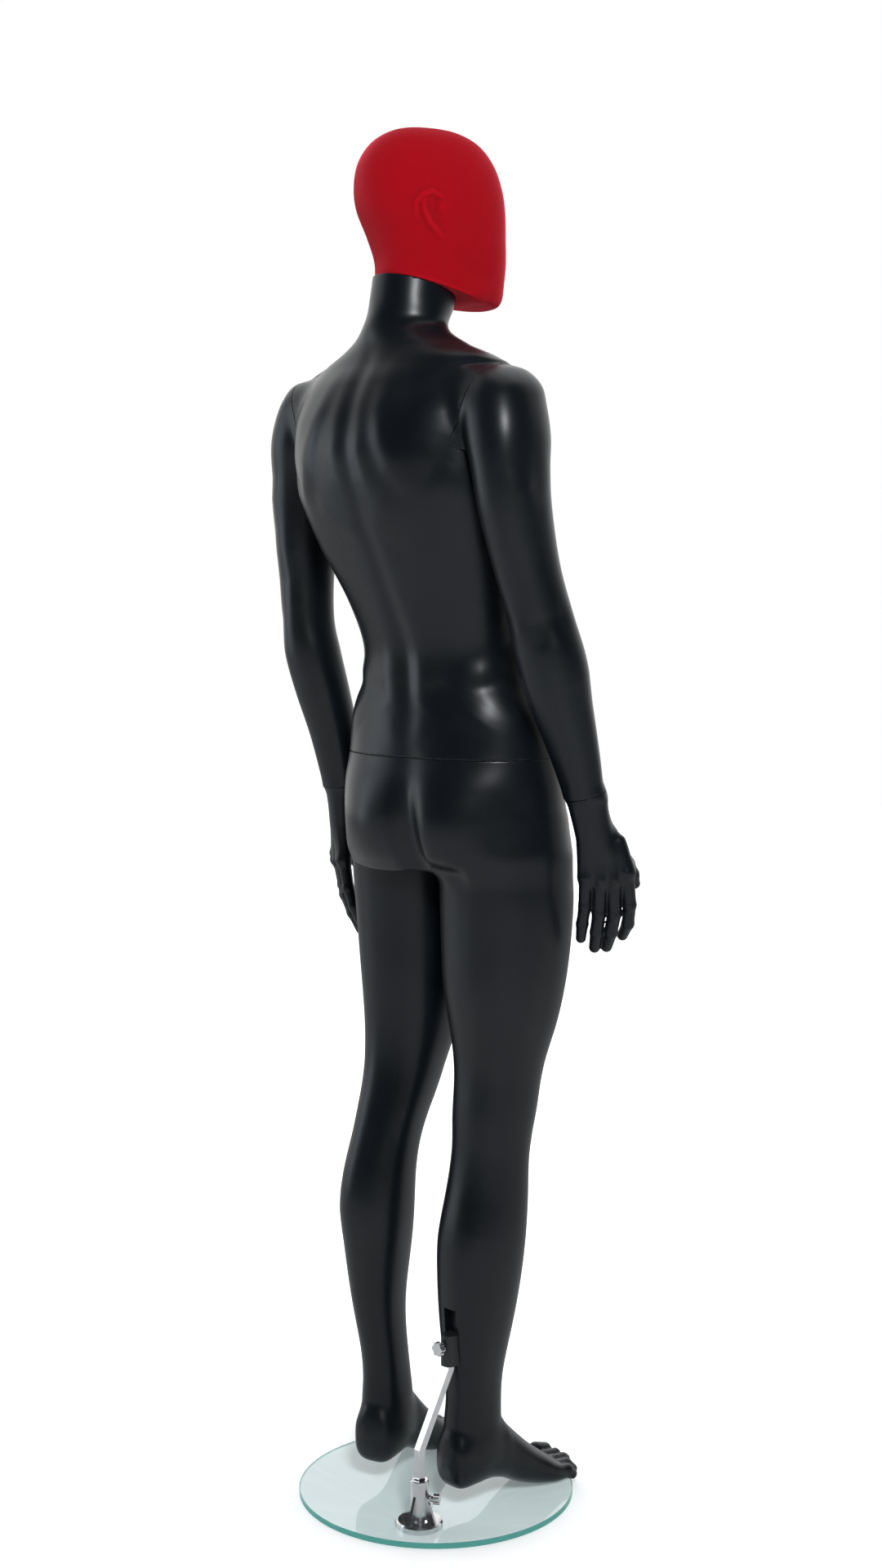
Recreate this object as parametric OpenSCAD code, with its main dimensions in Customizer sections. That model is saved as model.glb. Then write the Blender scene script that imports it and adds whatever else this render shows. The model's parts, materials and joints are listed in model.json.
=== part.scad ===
// Full body shop mannequin: hollow shells in separate pieces, standing on a round glass base
// with a bent calf rod. Millimetres, +Z up, the figure faces -Y, its right side is -X.
// The origin is the centre of the glass base's underside.

/* [Glass base] */
// Diameter of the glass disc
base_d = 380; // [360:5:420]
// Thickness of the glass disc
base_t = 8; // [6:1:12]
// Polished edge bevel
base_bevel = 1; // [0.5:0.5:2]

/* [Base socket and rod] */
// Diameter of the socket's foot flange
flange_d = 62; // [56:1:70]
// Thickness of the foot flange
flange_t = 9; // [6:1:12]
// Outer diameter of the socket tube
socket_d = 24; // [22:1:28]
// Height of the socket tube above the flange
socket_h = 55; // [50:1:80]
// Side of the square rod
rod_side = 10; // [8:0.5:12]
// Gap between the rod and what it slides in
rod_gap = 0.3; // [0.3:0.1:0.6]

/* [Shells] */
// Wall thickness of the shells
wall = 3.5; // [3:0.5:5]
// Gap left at every seam
seam_gap = 0.5; // [0.4:0.1:1]
// Points round each body section
section_points = 24; // [20:2:36]

/* [Fittings] */
// Radius of the waist spigot
waist_pin_r = 18; // [14:1:24]
// Radius of the thigh spigot
thigh_pin_r = 14; // [10:1:18]
// Radius of the shoulder studs
shoulder_pin_r = 11; // [8:1:14]
// Radius of the neck pivot
neck_pin_r = 10; // [8:1:14]
// Radius of the wrist pegs
wrist_pin_r = 6; // [5:0.5:8]
// Radial running clearance of spigots, pivots and screws
run_gap = 0.05; // [0.03:0.01:0.1]
// Thickness of the fitting discs
disc_t = 6; // [4:1:10]

/* [Hidden] */
glass_top = base_t;
socket_top = glass_top + flange_t + socket_h;
rod_x = -73;
rod_y = 117;
rod_turn = -7;
calf_reach = 53;
rod_low_bend = 112;
rod_high_bend = 212;
rod_top = 252;
fitting_low = 216;
fitting_high = 258;
boss_r = 11;
base_screw_z = glass_top + flange_t + 30;
base_screw_turn = 35;
base_screw_out = socket_d/2 + 3.5;
base_bore_r = rod_side/2*sqrt(2) + 0.33;
calf_screw_z = 242;
waist_z = 1029;
thigh_z = 876;
waist_c = [-15, -20, waist_z];
thigh_c = [69, -38, thigh_z];
neck_c = [0, 40, 1640];
neck_rot = [16, 0, -18];
right_shoulder_c = [-155, 74, 1470];
left_shoulder_c = [157, 44, 1470];
right_shoulder_rot = [0, -90, -5];
left_shoulder_rot = [0, 90, -5];
right_shoulder_seam = [0, -111, -5];
left_shoulder_seam = [0, 111, -5];
armpit_z = 1417;
arm_gap = 1.5;
seam_overlap = 3;
right_wrist_c = [-224, -34, 985];
left_wrist_c = [193, -21, 975];
right_wrist_rot = [-16, 6, 0];
left_wrist_rot = [-13, -2, 0];
right_hand_rot = [-5, 4.5, 38];
left_hand_rot = [-0.5, 0, -38];
end_wall = 6;
big = 900;
pin_faces = 64;

// Sections: [x, y, z, half width, depth behind, depth in front, turn, pitch].
// Pitch 0 is a level section; pitch 90 stands upright with its back edge pointing down.
pelvis = [[-17, -26, 876, 163, 98, 88, 0, 0],
    [-17, -24, 905, 168, 112, 94, 0, 0],
    [-16, -22, 950, 167, 117, 98, 0, 0],
    [-15, -21, 990, 164, 112, 99, 0, 0],
    [-15, -20, 1030, 158, 102, 99, 0, 0]];
trunk = [[-15, -20, 1028, 158, 102, 99, 0, 0],
    [-14, -17, 1080, 150, 95, 98, 0, 0],
    [-13, -13, 1130, 128, 88, 93, -1, 0],
    [-11, -8, 1175, 122, 86, 92, -2, 0],
    [-8, 8, 1232, 131, 90, 98, -3, 0],
    [-2, 33, 1308, 155, 98, 108, -4, 0],
    [2, 47, 1362, 172, 106, 117, -5, 0],
    [3, 54, 1396, 170, 110, 118, -5, 0],
    [3, 58, 1432, 163, 111, 115, -5, 0],
    [3, 60, 1475, 164, 100, 100, -5, 0],
    [3, 61, 1512, 161, 82, 78, -5, 0],
    [-4, 60, 1540, 149, 66, 62, -6, 0],
    [-1, 59, 1562, 103, 58, 56, -8, 0],
    [4, 55, 1588, 64, 56, 54, -12, 0],
    [1, 46, 1618, 56, 56, 55, -16, 0],
    [0, 38, 1668, 54, 55, 54, -18, 0]];
right_arm_path = [[-228, -46, 940, 27, 23, 23, -20, 0],
    [-224, -34, 985, 28, 25, 25, -18, 0],
    [-220, -18, 1040, 33, 31, 31, -14, 0],
    [-213, 4, 1110, 41, 40, 39, -10, 0],
    [-207, 18, 1165, 44, 42, 42, -8, 0],
    [-202, 31, 1215, 40, 41, 41, -6, 0],
    [-199, 55, 1280, 39, 43, 43, -5, 0],
    [-198, 77, 1350, 41, 48, 48, -5, 0],
    [-196, 84, 1400, 43, 51, 52, -5, 0],
    [-190, 83, 1440, 47, 54, 56, -5, 0],
    [-181, 79, 1478, 48, 53, 54, -5, 0],
    [-175, 74, 1504, 44, 48, 49, -5, 0],
    [-166, 70, 1523, 32, 35, 35, -5, 0],
    [-160, 68, 1531, 13, 14, 14, -5, 0]];
left_arm_path = [[194, -32, 930, 27, 23, 23, 14, 0],
    [193, -21, 975, 28, 25, 25, 12, 0],
    [194, -7, 1040, 33, 31, 31, 8, 0],
    [197, 13, 1105, 37, 37, 34, 4, 0],
    [201, 27, 1160, 37, 40, 35, 0, 0],
    [204, 33, 1210, 33, 38, 33, -3, 0],
    [205, 35, 1280, 34, 42, 38, -5, 0],
    [203, 35, 1350, 40, 48, 48, -5, 0],
    [199, 38, 1400, 42, 50, 52, -5, 0],
    [190, 42, 1440, 45, 53, 55, -5, 0],
    [180, 43, 1478, 46, 52, 54, -5, 0],
    [172, 45, 1504, 42, 47, 49, -5, 0],
    [168, 45, 1523, 32, 35, 35, -5, 0],
    [162, 45, 1531, 13, 14, 14, -5, 0]];
right_leg_path = [[-80, 13, 168, 31, 39, 37, -8, 0],
    [-81, 15, 205, 35, 41, 43, -8, 0],
    [-82, 10, 261, 43, 52, 51, -8, 0],
    [-83, 5, 320, 50, 59, 56, -8, 0],
    [-84, 0, 377, 53, 62, 58, -8, 0],
    [-85, -7, 435, 51, 56, 56, -8, 0],
    [-87, -12, 493, 48, 51, 52, -8, 0],
    [-89, -16, 550, 51, 54, 60, -8, 0],
    [-91, -22, 605, 55, 55, 60, -7, 0],
    [-94, -27, 661, 66, 67, 70, -6, 0],
    [-97, -27, 718, 76, 79, 82, -5, 0],
    [-99, -29, 790, 82, 84, 87, -4, 0],
    [-101, -31, 860, 84, 91, 84, -2, 0],
    [-101, -28, 900, 80, 96, 80, 0, 0]];
left_leg_path = [[71.5, 23, 168, 30, 36, 35, 12, 0],
    [73.5, 26.5, 205, 30, 37, 35, 12, 0],
    [78, 31, 261, 34, 41, 38, 12, 0],
    [78, 32, 320, 41, 48, 45, 12, 0],
    [78, 32, 377, 47, 55, 50, 12, 0],
    [78, 32, 425, 49, 55, 50, 12, 0],
    [76, 24, 475, 46, 50, 48, 12, 0],
    [73, 10, 521, 46, 50, 53, 12, 0],
    [70, -6, 565, 50, 52, 60, 12, 0],
    [69, -18, 615, 56, 56, 62, 10, 0],
    [68, -27, 665, 63, 64, 70, 8, 0],
    [68, -34, 720, 70, 75, 78, 6, 0],
    [69, -38, 790, 76, 82, 86, 4, 0],
    [69, -38, 876, 80, 90, 84, 2, 0],
    [69, -38, 900, 78, 92, 80, 0, 0]];
// Foot sections from the toes back to the ankle: [forward, z, half width, sole side, top side,
// pitch, extra turn, shift to the inner side], measured along the foot from the ankle's axis.
foot_shape = [[189, 18, 14, 3, 4, 90, 22, 16],
    [184, 17.5, 34, 8, 12, 90, 22, 12],
    [168, 19.3, 43, 10.4, 15, 90, 20, 7],
    [145, 22.4, 46, 13.5, 16, 90, 14, 2],
    [118, 29.4, 46, 20.4, 20, 90, 8, 0],
    [88, 40, 41, 23, 31, 85, 4, 0],
    [55, 60, 36, 31, 37, 75, 0, 1],
    [25, 76, 33, 37, 44, 60, 0, 2],
    [8, 86, 32, 58, 47, 45, 0, 1],
    [0, 104, 34, 58, 42, 30, 0, 0],
    [-2, 126, 35, 47, 38, 15, 0, 0]];
head_path = [[0, 38, 1623, 48, 48, 64, -24, 0],
    [-9, 17, 1626, 60, 70, 78, -24, 0],
    [-10, 13, 1638, 64, 80, 88, -24, 0],
    [-9, 10, 1674, 69, 80, 94, -24, 0],
    [-8, 13, 1705, 73, 87, 96, -24, 0],
    [-6, 18, 1740, 76, 97, 100, -24, 0],
    [-4, 21, 1770, 75, 97, 99, -24, 0],
    [-3, 24, 1800, 67, 89, 91, -24, 0],
    [-2, 26, 1825, 53, 70, 73, -24, 0],
    [-1, 28, 1840, 32, 43, 46, -24, 0],
    [-1, 29, 1846, 9, 13, 13, -24, 0]];

// Power that keeps the sign, for rounded sections
function spow(v, e) = v < 0 ? -pow(-v, e) : pow(v, e);

// Smooth curve through a list of sections, at fraction t after item k
function along(p, k, t) =
    let (a = p[max(k - 1, 0)], b = p[k], c = p[k + 1], d = p[min(k + 2, len(p) - 1)])
    0.5*(2*b + (c - a)*t + (2*a - 5*b + 4*c - d)*t*t + (3*b - a - 3*c + d)*t*t*t);

// Every section with m - 1 more between each two
function refine(p, m) =
    [for (k = [0 : len(p) - 2]) for (j = [0 : m - 1]) along(p, k, j/m), p[len(p) - 1]];

// Outline of one section, taken inwards by inset, with n points and roundness e
function outline(s, inset, n, e) =
    [for (j = [0 : n - 1])
        let (u = (s[3] - inset)*spow(cos(360*j/n), e),
            v = ((j < n/2 ? s[4] : s[5]) - inset)*spow(sin(360*j/n), e))
        [s[0] + u*cos(s[6]) - v*sin(s[6])*cos(s[7]),
            s[1] + u*sin(s[6]) + v*cos(s[6])*cos(s[7]),
            s[2] - v*sin(s[7])]];

// Foot sections placed under an ankle at (x, y); side is 1 for the left foot, -1 for the right
function foot(x, y, turn, side) =
    [for (f = foot_shape)
        [x + f[0]*sin(turn) - side*f[7]*cos(turn), y - f[0]*cos(turn) - side*f[7]*sin(turn),
            f[1], f[2], f[3], f[4], turn + side*f[6], f[5]]];

// Solid through a list of sections, ordered from bottom to top
module loft(path, inset = 0, m = 2, n = section_points, e = 0.86) {
    rings = [for (s = refine(path, m)) outline(s, inset, n, e)];
    last = len(rings) - 1;
    polyhedron(
        points = [for (r = rings) for (q = r) q],
        faces = concat(
            [[for (j = [0 : n - 1]) j]],
            [for (k = [0 : last - 1]) for (j = [0 : n - 1])
                [k*n + j, (k + 1)*n + j, (k + 1)*n + (j + 1) % n]],
            [for (k = [0 : last - 1]) for (j = [0 : n - 1])
                [k*n + j, (k + 1)*n + (j + 1) % n, k*n + (j + 1) % n]],
            [[for (j = [n - 1 : -1 : 0]) last*n + j]]));
}

// Everything on the local +Z side of a seam plane, from a given distance beyond it
module beyond(c, r, start = seam_gap/2) {
    translate(c) rotate(r) translate([-big/2, -big/2, start]) cube(big);
}

// The same on the local -Z side
module behind(c, r, start = seam_gap/2) {
    translate(c) rotate(r) translate([-big/2, -big/2, start - big]) cube(big);
}

// Everything beyond a shoulder seam and above the armpit, where the arm takes over
module shoulder_block(c, r, start) {
    intersection() {
        beyond(c, r, start);
        translate([-big/2, -big/2, armpit_z + start]) cube(big);
    }
}

// Room for an arm beside the trunk below the armpit
module arm_room(path, gap) {
    intersection() {
        loft(path, -gap, n = 18);
        translate([-big/2, -big/2, armpit_z - big]) cube(big);
    }
}

// Space inside a shell between two levels
module hollow(path, low, high) {
    intersection() {
        loft(path, wall, n = 18);
        translate([-big/2, -big/2, low]) cube([big, big, high - low]);
    }
}

// Round hole through a shell's end wall for a fitting disc
module fitting_hole(c, r, radius) {
    translate(c) rotate(r) cylinder(r = radius + 0.4, h = 40, center = true, $fn = 40);
}

// Joins shapes into one closed shell
module shell() {
    resize([0, 0, 0]) union() children();
}

// Fitting disc whose face lies on the seam, with a bore through it
module socket_disc(disc_r, pin_r, depth) {
    difference() {
        union() {
            translate([0, 0, -seam_gap/2 - disc_t]) cylinder(r = disc_r, h = disc_t, $fn = pin_faces);
            translate([0, 0, -seam_gap/2 - depth]) cylinder(r = pin_r + 4, h = depth, $fn = pin_faces);
        }
        translate([0, 0, -depth - 2]) cylinder(r = pin_r + run_gap, h = depth + 4, $fn = pin_faces);
    }
}

// Fitting disc with a spigot that points down through the seam
module spigot_disc(disc_r, pin_r, reach) {
    translate([0, 0, seam_gap/2]) cylinder(r = disc_r, h = disc_t, $fn = pin_faces);
    translate([0, 0, 2 - reach]) cylinder(r = pin_r, h = reach, $fn = pin_faces);
    translate([0, 0, -reach]) cylinder(r1 = pin_r - 2, r2 = pin_r, h = 2, $fn = pin_faces);
}

// Screw with a plain stem along +Z, a collar and a knob with six lobes
module thumb_screw(stem_r, reach, knob_r, knob_t) {
    translate([0, 0, -reach]) cylinder(r = stem_r, h = reach + 1, $fn = pin_faces);
    cylinder(r = knob_r*0.55, h = 4.5, $fn = pin_faces);
    translate([0, 0, 4]) linear_extrude(knob_t)
        polygon([for (k = [0 : 71]) knob_r*(0.91 + 0.09*cos(30*k))*[cos(5*k), sin(5*k)]]);
}

// Frame of the rod: the socket's axis at x = y = 0, the calf straight ahead at -Y
module rod_frame() {
    translate([rod_x, rod_y, 0]) rotate([0, 0, rod_turn]) children();
}

module glass_base() {
    color([0.78, 0.9, 0.87, 0.4])
        difference() {
            rotate_extrude($fn = 128)
                polygon([[0, 0], [base_d/2 - base_bevel, 0], [base_d/2, base_bevel],
                    [base_d/2, base_t - base_bevel], [base_d/2 - base_bevel, base_t], [0, base_t]]);
            translate([rod_x, rod_y, -1]) cylinder(r = 4.5, h = base_t + 2, $fn = 48);
            translate([rod_x, rod_y, -0.01]) cylinder(r1 = 9, r2 = 4.5, h = 4.5, $fn = 48);
        }
}

// Frame of the socket's screw: +Z outwards along the screw, the origin under its collar
module base_screw_frame(dz = 0) {
    rotate([0, 0, base_screw_turn]) translate([-base_screw_out, 0, base_screw_z + dz])
        rotate([0, -90, 0]) children();
}

module base_flange() {
    color([0.85, 0.85, 0.87])
        rod_frame() translate([0, 0, glass_top])
            difference() {
                union() {
                    rotate_extrude($fn = 96)
                        polygon([[0, 0], [flange_d/2, 0], [flange_d/2, flange_t - 2],
                            [flange_d/2 - 2, flange_t], [socket_d/2 + 2, flange_t],
                            [socket_d/2, flange_t + 2], [socket_d/2, flange_t + socket_h - 1],
                            [socket_d/2 - 1, flange_t + socket_h], [0, flange_t + socket_h]]);
                    for (k = [0 : 3])
                        rotate([90, 0, 14 + 90*k]) translate([0, 0, -2])
                            linear_extrude(4)
                                polygon([[8, flange_t - 1], [flange_d/2 - 6, flange_t - 1],
                                    [flange_d/2 - 6, flange_t + 1], [11, flange_t + 37],
                                    [8, flange_t + 37]]);
                    base_screw_frame(-glass_top) translate([0, 0, 3 - base_screw_out])
                        cylinder(r = 6, h = base_screw_out - 3.5, $fn = 48);
                }
                translate([0, 0, 12]) cylinder(r = base_bore_r, h = 90, $fn = 64);
                translate([0, 0, -1]) cylinder(r = 3.05, h = 20, $fn = 48);
                base_screw_frame(-glass_top) translate([0, 0, -base_screw_out])
                    cylinder(r = 3 + run_gap, h = 40, $fn = 48);
            }
}

module base_screw() {
    color([0.6, 0.6, 0.62])
        translate([rod_x, rod_y, 0]) {
            translate([0, 0, 0.6]) cylinder(r1 = 8.2, r2 = 3.9, h = 4.3, $fn = 48);
            translate([0, 0, 0.6]) cylinder(r = 3, h = 15, $fn = 48);
        }
}

module base_thumb_screw() {
    color([0.85, 0.85, 0.87])
        rod_frame() base_screw_frame() thumb_screw(3, base_screw_out - base_bore_r - 0.1, 8, 8);
}

module support_rod() {
    lean = atan2(calf_reach, rod_high_bend - rod_low_bend);
    half = rod_side/2;
    mitre = half*tan(lean/2);
    color([0.85, 0.85, 0.87])
        rod_frame() rotate([90, 0, 90]) linear_extrude(rod_side, center = true)
            polygon([[half, glass_top + 12.3], [half, rod_low_bend + mitre],
                [half - calf_reach, rod_high_bend + mitre], [half - calf_reach, rod_top],
                [-half - calf_reach, rod_top], [-half - calf_reach, rod_high_bend - mitre],
                [-half, rod_low_bend - mitre], [-half, glass_top + 12.3]]);
}

// Rounded block of the calf fitting and, with some extra, the pocket it sits in
module calf_block(extra) {
    translate([0, -calf_reach, fitting_low - extra]) {
        cylinder(r = boss_r + extra, h = fitting_high - fitting_low + 2*extra, $fn = 48);
        translate([-boss_r - extra, -14 - extra, 0])
            cube([2*boss_r + 2*extra, 14 + extra, fitting_high - fitting_low + 2*extra]);
    }
}

module calf_fitting() {
    slot = rod_side + 2*rod_gap;
    color([0.05, 0.05, 0.06])
        rod_frame()
            difference() {
                calf_block(0);
                translate([-slot/2, -calf_reach - slot/2, fitting_low - 1])
                    cube([slot, slot, rod_top + 1.5 - fitting_low]);
                translate([0, -calf_reach, calf_screw_z]) rotate([-90, 0, 0])
                    cylinder(r = 3 + run_gap, h = 40, $fn = 48);
            }
}

module calf_thumb_screw() {
    color([0.85, 0.85, 0.87])
        rod_frame()
            translate([0, boss_r + 0.5 - calf_reach, calf_screw_z]) rotate([-90, 0, 0])
                thumb_screw(3, boss_r + 0.5 - rod_side/2 - rod_gap, 10, 7);
}

module hip_and_right_leg() {
    leg = concat(foot(-80, 12, -8, -1), right_leg_path);
    color([0.06, 0.06, 0.07])
        shell() difference() {
            union() {
                loft(pelvis);
                loft(leg);
            }
            hollow(pelvis, thigh_z + end_wall, waist_z - end_wall);
            hollow(leg, 330, thigh_z + 15);
            beyond(waist_c, [0, 0, 0], -seam_gap/2);
            fitting_hole(waist_c, [0, 0, 0], 46);
            fitting_hole(thigh_c, [0, 0, 0], 36);
            rod_frame() {
                calf_block(0.2);
                translate([-11.2, -calf_reach - 12, fitting_low + 6]) cube([22.4, 60, 69]);
            }
        }
}

module waist_socket() {
    color([0.55, 0.56, 0.58]) translate(waist_c) socket_disc(46, waist_pin_r, 46);
}

module thigh_socket() {
    color([0.55, 0.56, 0.58])
        translate(thigh_c) rotate([180, 0, 0]) socket_disc(36, thigh_pin_r, 34);
}

module left_leg() {
    leg = concat(foot(71, 21, 12, 1), left_leg_path);
    color([0.06, 0.06, 0.07])
        shell() difference() {
            loft(leg);
            hollow(leg, 150, thigh_z - end_wall);
            beyond(thigh_c, [0, 0, 0], -seam_gap/2);
            fitting_hole(thigh_c, [0, 0, 0], 36);
        }
}

module thigh_spigot() {
    color([0.55, 0.56, 0.58])
        translate(thigh_c) rotate([180, 0, 0]) spigot_disc(36, thigh_pin_r, 32);
}

module torso() {
    color([0.06, 0.06, 0.07])
        shell() difference() {
            loft(trunk);
            difference() {
                hollow(trunk, waist_z + end_wall, 1700);
                beyond(neck_c, neck_rot, -end_wall);
                shoulder_block(right_shoulder_c, right_shoulder_seam, -end_wall);
                shoulder_block(left_shoulder_c, left_shoulder_seam, -end_wall);
                arm_room(right_arm_path, arm_gap + wall);
                arm_room(left_arm_path, arm_gap + wall);
            }
            behind(waist_c, [0, 0, 0]);
            beyond(neck_c, neck_rot, -seam_gap/2);
            shoulder_block(right_shoulder_c, right_shoulder_seam, -seam_gap/2);
            shoulder_block(left_shoulder_c, left_shoulder_seam, -seam_gap/2);
            arm_room(right_arm_path, arm_gap);
            arm_room(left_arm_path, arm_gap);
            fitting_hole(waist_c, [0, 0, 0], 46);
            fitting_hole(neck_c, neck_rot, 34);
            fitting_hole(right_shoulder_c, right_shoulder_rot, 28);
            fitting_hole(left_shoulder_c, left_shoulder_rot, 28);
        }
}

module waist_spigot() {
    color([0.55, 0.56, 0.58]) translate(waist_c) spigot_disc(46, waist_pin_r, 42);
}

module neck_plate() {
    color([0.55, 0.56, 0.58]) translate(neck_c) rotate(neck_rot)
        translate([0, 0, -4]) socket_disc(34, neck_pin_r, 26);
}

module neck_swivel() {
    color([0.7, 0.7, 0.72]) translate(neck_c) rotate(neck_rot) {
        translate([0, 0, -3.7]) cylinder(r = 33, h = 3.4, $fn = pin_faces);
        translate([0, 0, -26]) cylinder(r = neck_pin_r, h = 24, $fn = pin_faces);
        for (k = [0 : 2])
            rotate([0, 0, 120*k + 90]) translate([21, 0, -1]) cylinder(r = 4, h = 9, $fn = 32);
    }
}

module right_shoulder_socket() {
    color([0.55, 0.56, 0.58]) translate(right_shoulder_c) rotate(right_shoulder_rot)
        socket_disc(28, shoulder_pin_r, 26);
}

module left_shoulder_socket() {
    color([0.55, 0.56, 0.58]) translate(left_shoulder_c) rotate(left_shoulder_rot)
        socket_disc(28, shoulder_pin_r, 26);
}

// Hollow arm from the shoulder seam to the wrist seam, with the edge of the trunk above it
module arm(path, shoulder_c, shoulder_rot, shoulder_seam, wrist_c, wrist_rot) {
    color([0.06, 0.06, 0.07])
        shell() difference() {
            union() {
                loft(path);
                intersection() {
                    loft(trunk);
                    beyond(shoulder_c, shoulder_seam, -seam_overlap);
                    translate([-big/2, -big/2, armpit_z + seam_gap/2]) cube(big);
                }
            }
            difference() {
                hollow(path, 900, 1500);
                behind(shoulder_c, shoulder_seam, end_wall);
                behind(wrist_c, wrist_rot, end_wall);
            }
            behind(shoulder_c, shoulder_seam);
            behind(wrist_c, wrist_rot);
            fitting_hole(shoulder_c, shoulder_rot, 28);
            fitting_hole(wrist_c, wrist_rot, 15);
        }
}

module right_arm() {
    arm(right_arm_path, right_shoulder_c, right_shoulder_rot, right_shoulder_seam,
        right_wrist_c, right_wrist_rot);
}

module left_arm() {
    arm(left_arm_path, left_shoulder_c, left_shoulder_rot, left_shoulder_seam,
        left_wrist_c, left_wrist_rot);
}

module right_arm_stud() {
    color([0.55, 0.56, 0.58]) translate(right_shoulder_c) rotate(right_shoulder_rot)
        spigot_disc(28, shoulder_pin_r, 22);
}

module left_arm_stud() {
    color([0.55, 0.56, 0.58]) translate(left_shoulder_c) rotate(left_shoulder_rot)
        spigot_disc(28, shoulder_pin_r, 22);
}

module right_wrist_socket() {
    color([0.55, 0.56, 0.58]) translate(right_wrist_c) rotate(right_wrist_rot) rotate([180, 0, 0])
        socket_disc(15, wrist_pin_r, 24);
}

module left_wrist_socket() {
    color([0.55, 0.56, 0.58]) translate(left_wrist_c) rotate(left_wrist_rot) rotate([180, 0, 0])
        socket_disc(15, wrist_pin_r, 24);
}

// Rounded length between two spheres
module limb(a, ra, b, rb) {
    hull() {
        translate(a) sphere(r = ra, $fn = 10);
        translate(b) sphere(r = rb, $fn = 10);
    }
}

// Finger with two joints, from its knuckle; points are in the hand's own frame
module finger(a, b, c, d, r) {
    limb(a, r + 1.5, b, r + 0.5);
    limb(b, r + 0.5, c, r);
    limb(c, r, d, r - 1);
}

// Flat oval slice of the palm
module palm_slice(x, z, half_width, depth) {
    translate([x, 0, z]) scale([1, depth/half_width, 1]) cylinder(r = half_width, h = 2, $fn = 24);
}

// Right hand hanging from the origin along -Z, back of the hand to +Y, thumb towards -X
module hand() {
    hull() {
        palm_slice(-3, 12, 28, 24);
        palm_slice(-7, -30, 25.5, 20);
    }
    hull() {
        palm_slice(-7, -30, 25.5, 20);
        palm_slice(-10, -56, 24.5, 17.5);
    }
    hull() {
        palm_slice(-10, -56, 24.5, 17.5);
        for (k = [0 : 3])
            translate([3 - 17*k, 0, -114 - 4*sin(60*k)]) sphere(r = 11.5, $fn = 12);
        translate([-38, -10, -78]) sphere(r = 12, $fn = 12);
    }
    finger([5, 0, -112], [9, -5, -149], [14, -12, -175], [17, -20, -196], 8.4);
    finger([-14, 1, -116], [-9, -6, -160], [-4, -14, -188], [0, -24, -211], 9);
    finger([-32, 1, -117], [-29, -7, -163], [-23, -16, -190], [-16, -28, -212], 9.2);
    finger([-49, 0, -110], [-50, -7, -152], [-46, -17, -180], [-38, -31, -199], 8.8);
    limb([-20, -8, -44], 12, [-35, -13, -70], 12);
    limb([-35, -13, -70], 12, [-50, -20, -100], 10);
    limb([-50, -20, -100], 10, [-58, -30, -126], 8);
}

// A hand cut at its wrist seam and bored for the peg
module seated_hand(c, seam_rot, hand_rot, side) {
    shell() difference() {
        translate(c) rotate(hand_rot) mirror([side < 0 ? 0 : 1, 0, 0]) hand();
        beyond(c, seam_rot, -seam_gap/2);
        translate(c) rotate(seam_rot) translate([0, 0, -30])
            cylinder(r = wrist_pin_r + 0.3, h = 60, $fn = 24);
    }
}

module right_hand() {
    color([0.06, 0.06, 0.07])
        seated_hand(right_wrist_c, right_wrist_rot, right_hand_rot, -1);
}

module left_hand() {
    color([0.06, 0.06, 0.07])
        seated_hand(left_wrist_c, left_wrist_rot, left_hand_rot, 1);
}

// Peg fixed in the hand that turns in the forearm's wrist socket
module wrist_peg() {
    rotate([180, 0, 0]) {
        translate([0, 0, -22]) cylinder(r = wrist_pin_r, h = 50, $fn = pin_faces);
        translate([0, 0, -24]) cylinder(r1 = wrist_pin_r - 2, r2 = wrist_pin_r, h = 2, $fn = pin_faces);
    }
}

module right_wrist_peg() {
    color([0.7, 0.7, 0.72]) translate(right_wrist_c) rotate(right_wrist_rot) wrist_peg();
}

module left_wrist_peg() {
    color([0.7, 0.7, 0.72]) translate(left_wrist_c) rotate(left_wrist_rot) wrist_peg();
}

module head() {
    color([0.72, 0.02, 0.06])
        shell() difference() {
            loft(head_path);
            difference() {
                hollow(head_path, 1636, 1840);
                behind(neck_c, neck_rot, end_wall);
            }
            behind(neck_c, neck_rot);
            fitting_hole(neck_c, neck_rot, 34);
        }
}

module head_disc() {
    color([0.55, 0.56, 0.58]) translate(neck_c) rotate(neck_rot)
        difference() {
            translate([0, 0, seam_gap/2]) cylinder(r = 34, h = disc_t + 4, $fn = pin_faces);
            for (k = [0 : 2])
                rotate([0, 0, 120*k + 90]) translate([21, 0, -2])
                    cylinder(r = 4 + run_gap, h = 20, $fn = 32);
        }
}

glass_base();
base_flange();
base_screw();
base_thumb_screw();
support_rod();
calf_fitting();
calf_thumb_screw();
hip_and_right_leg();
waist_socket();
thigh_socket();
left_leg();
thigh_spigot();
torso();
waist_spigot();
neck_plate();
neck_swivel();
right_shoulder_socket();
left_shoulder_socket();
right_arm();
left_arm();
right_arm_stud();
left_arm_stud();
right_wrist_socket();
left_wrist_socket();
right_hand();
left_hand();
right_wrist_peg();
left_wrist_peg();
head();
head_disc();
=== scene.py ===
import json
import math

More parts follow.
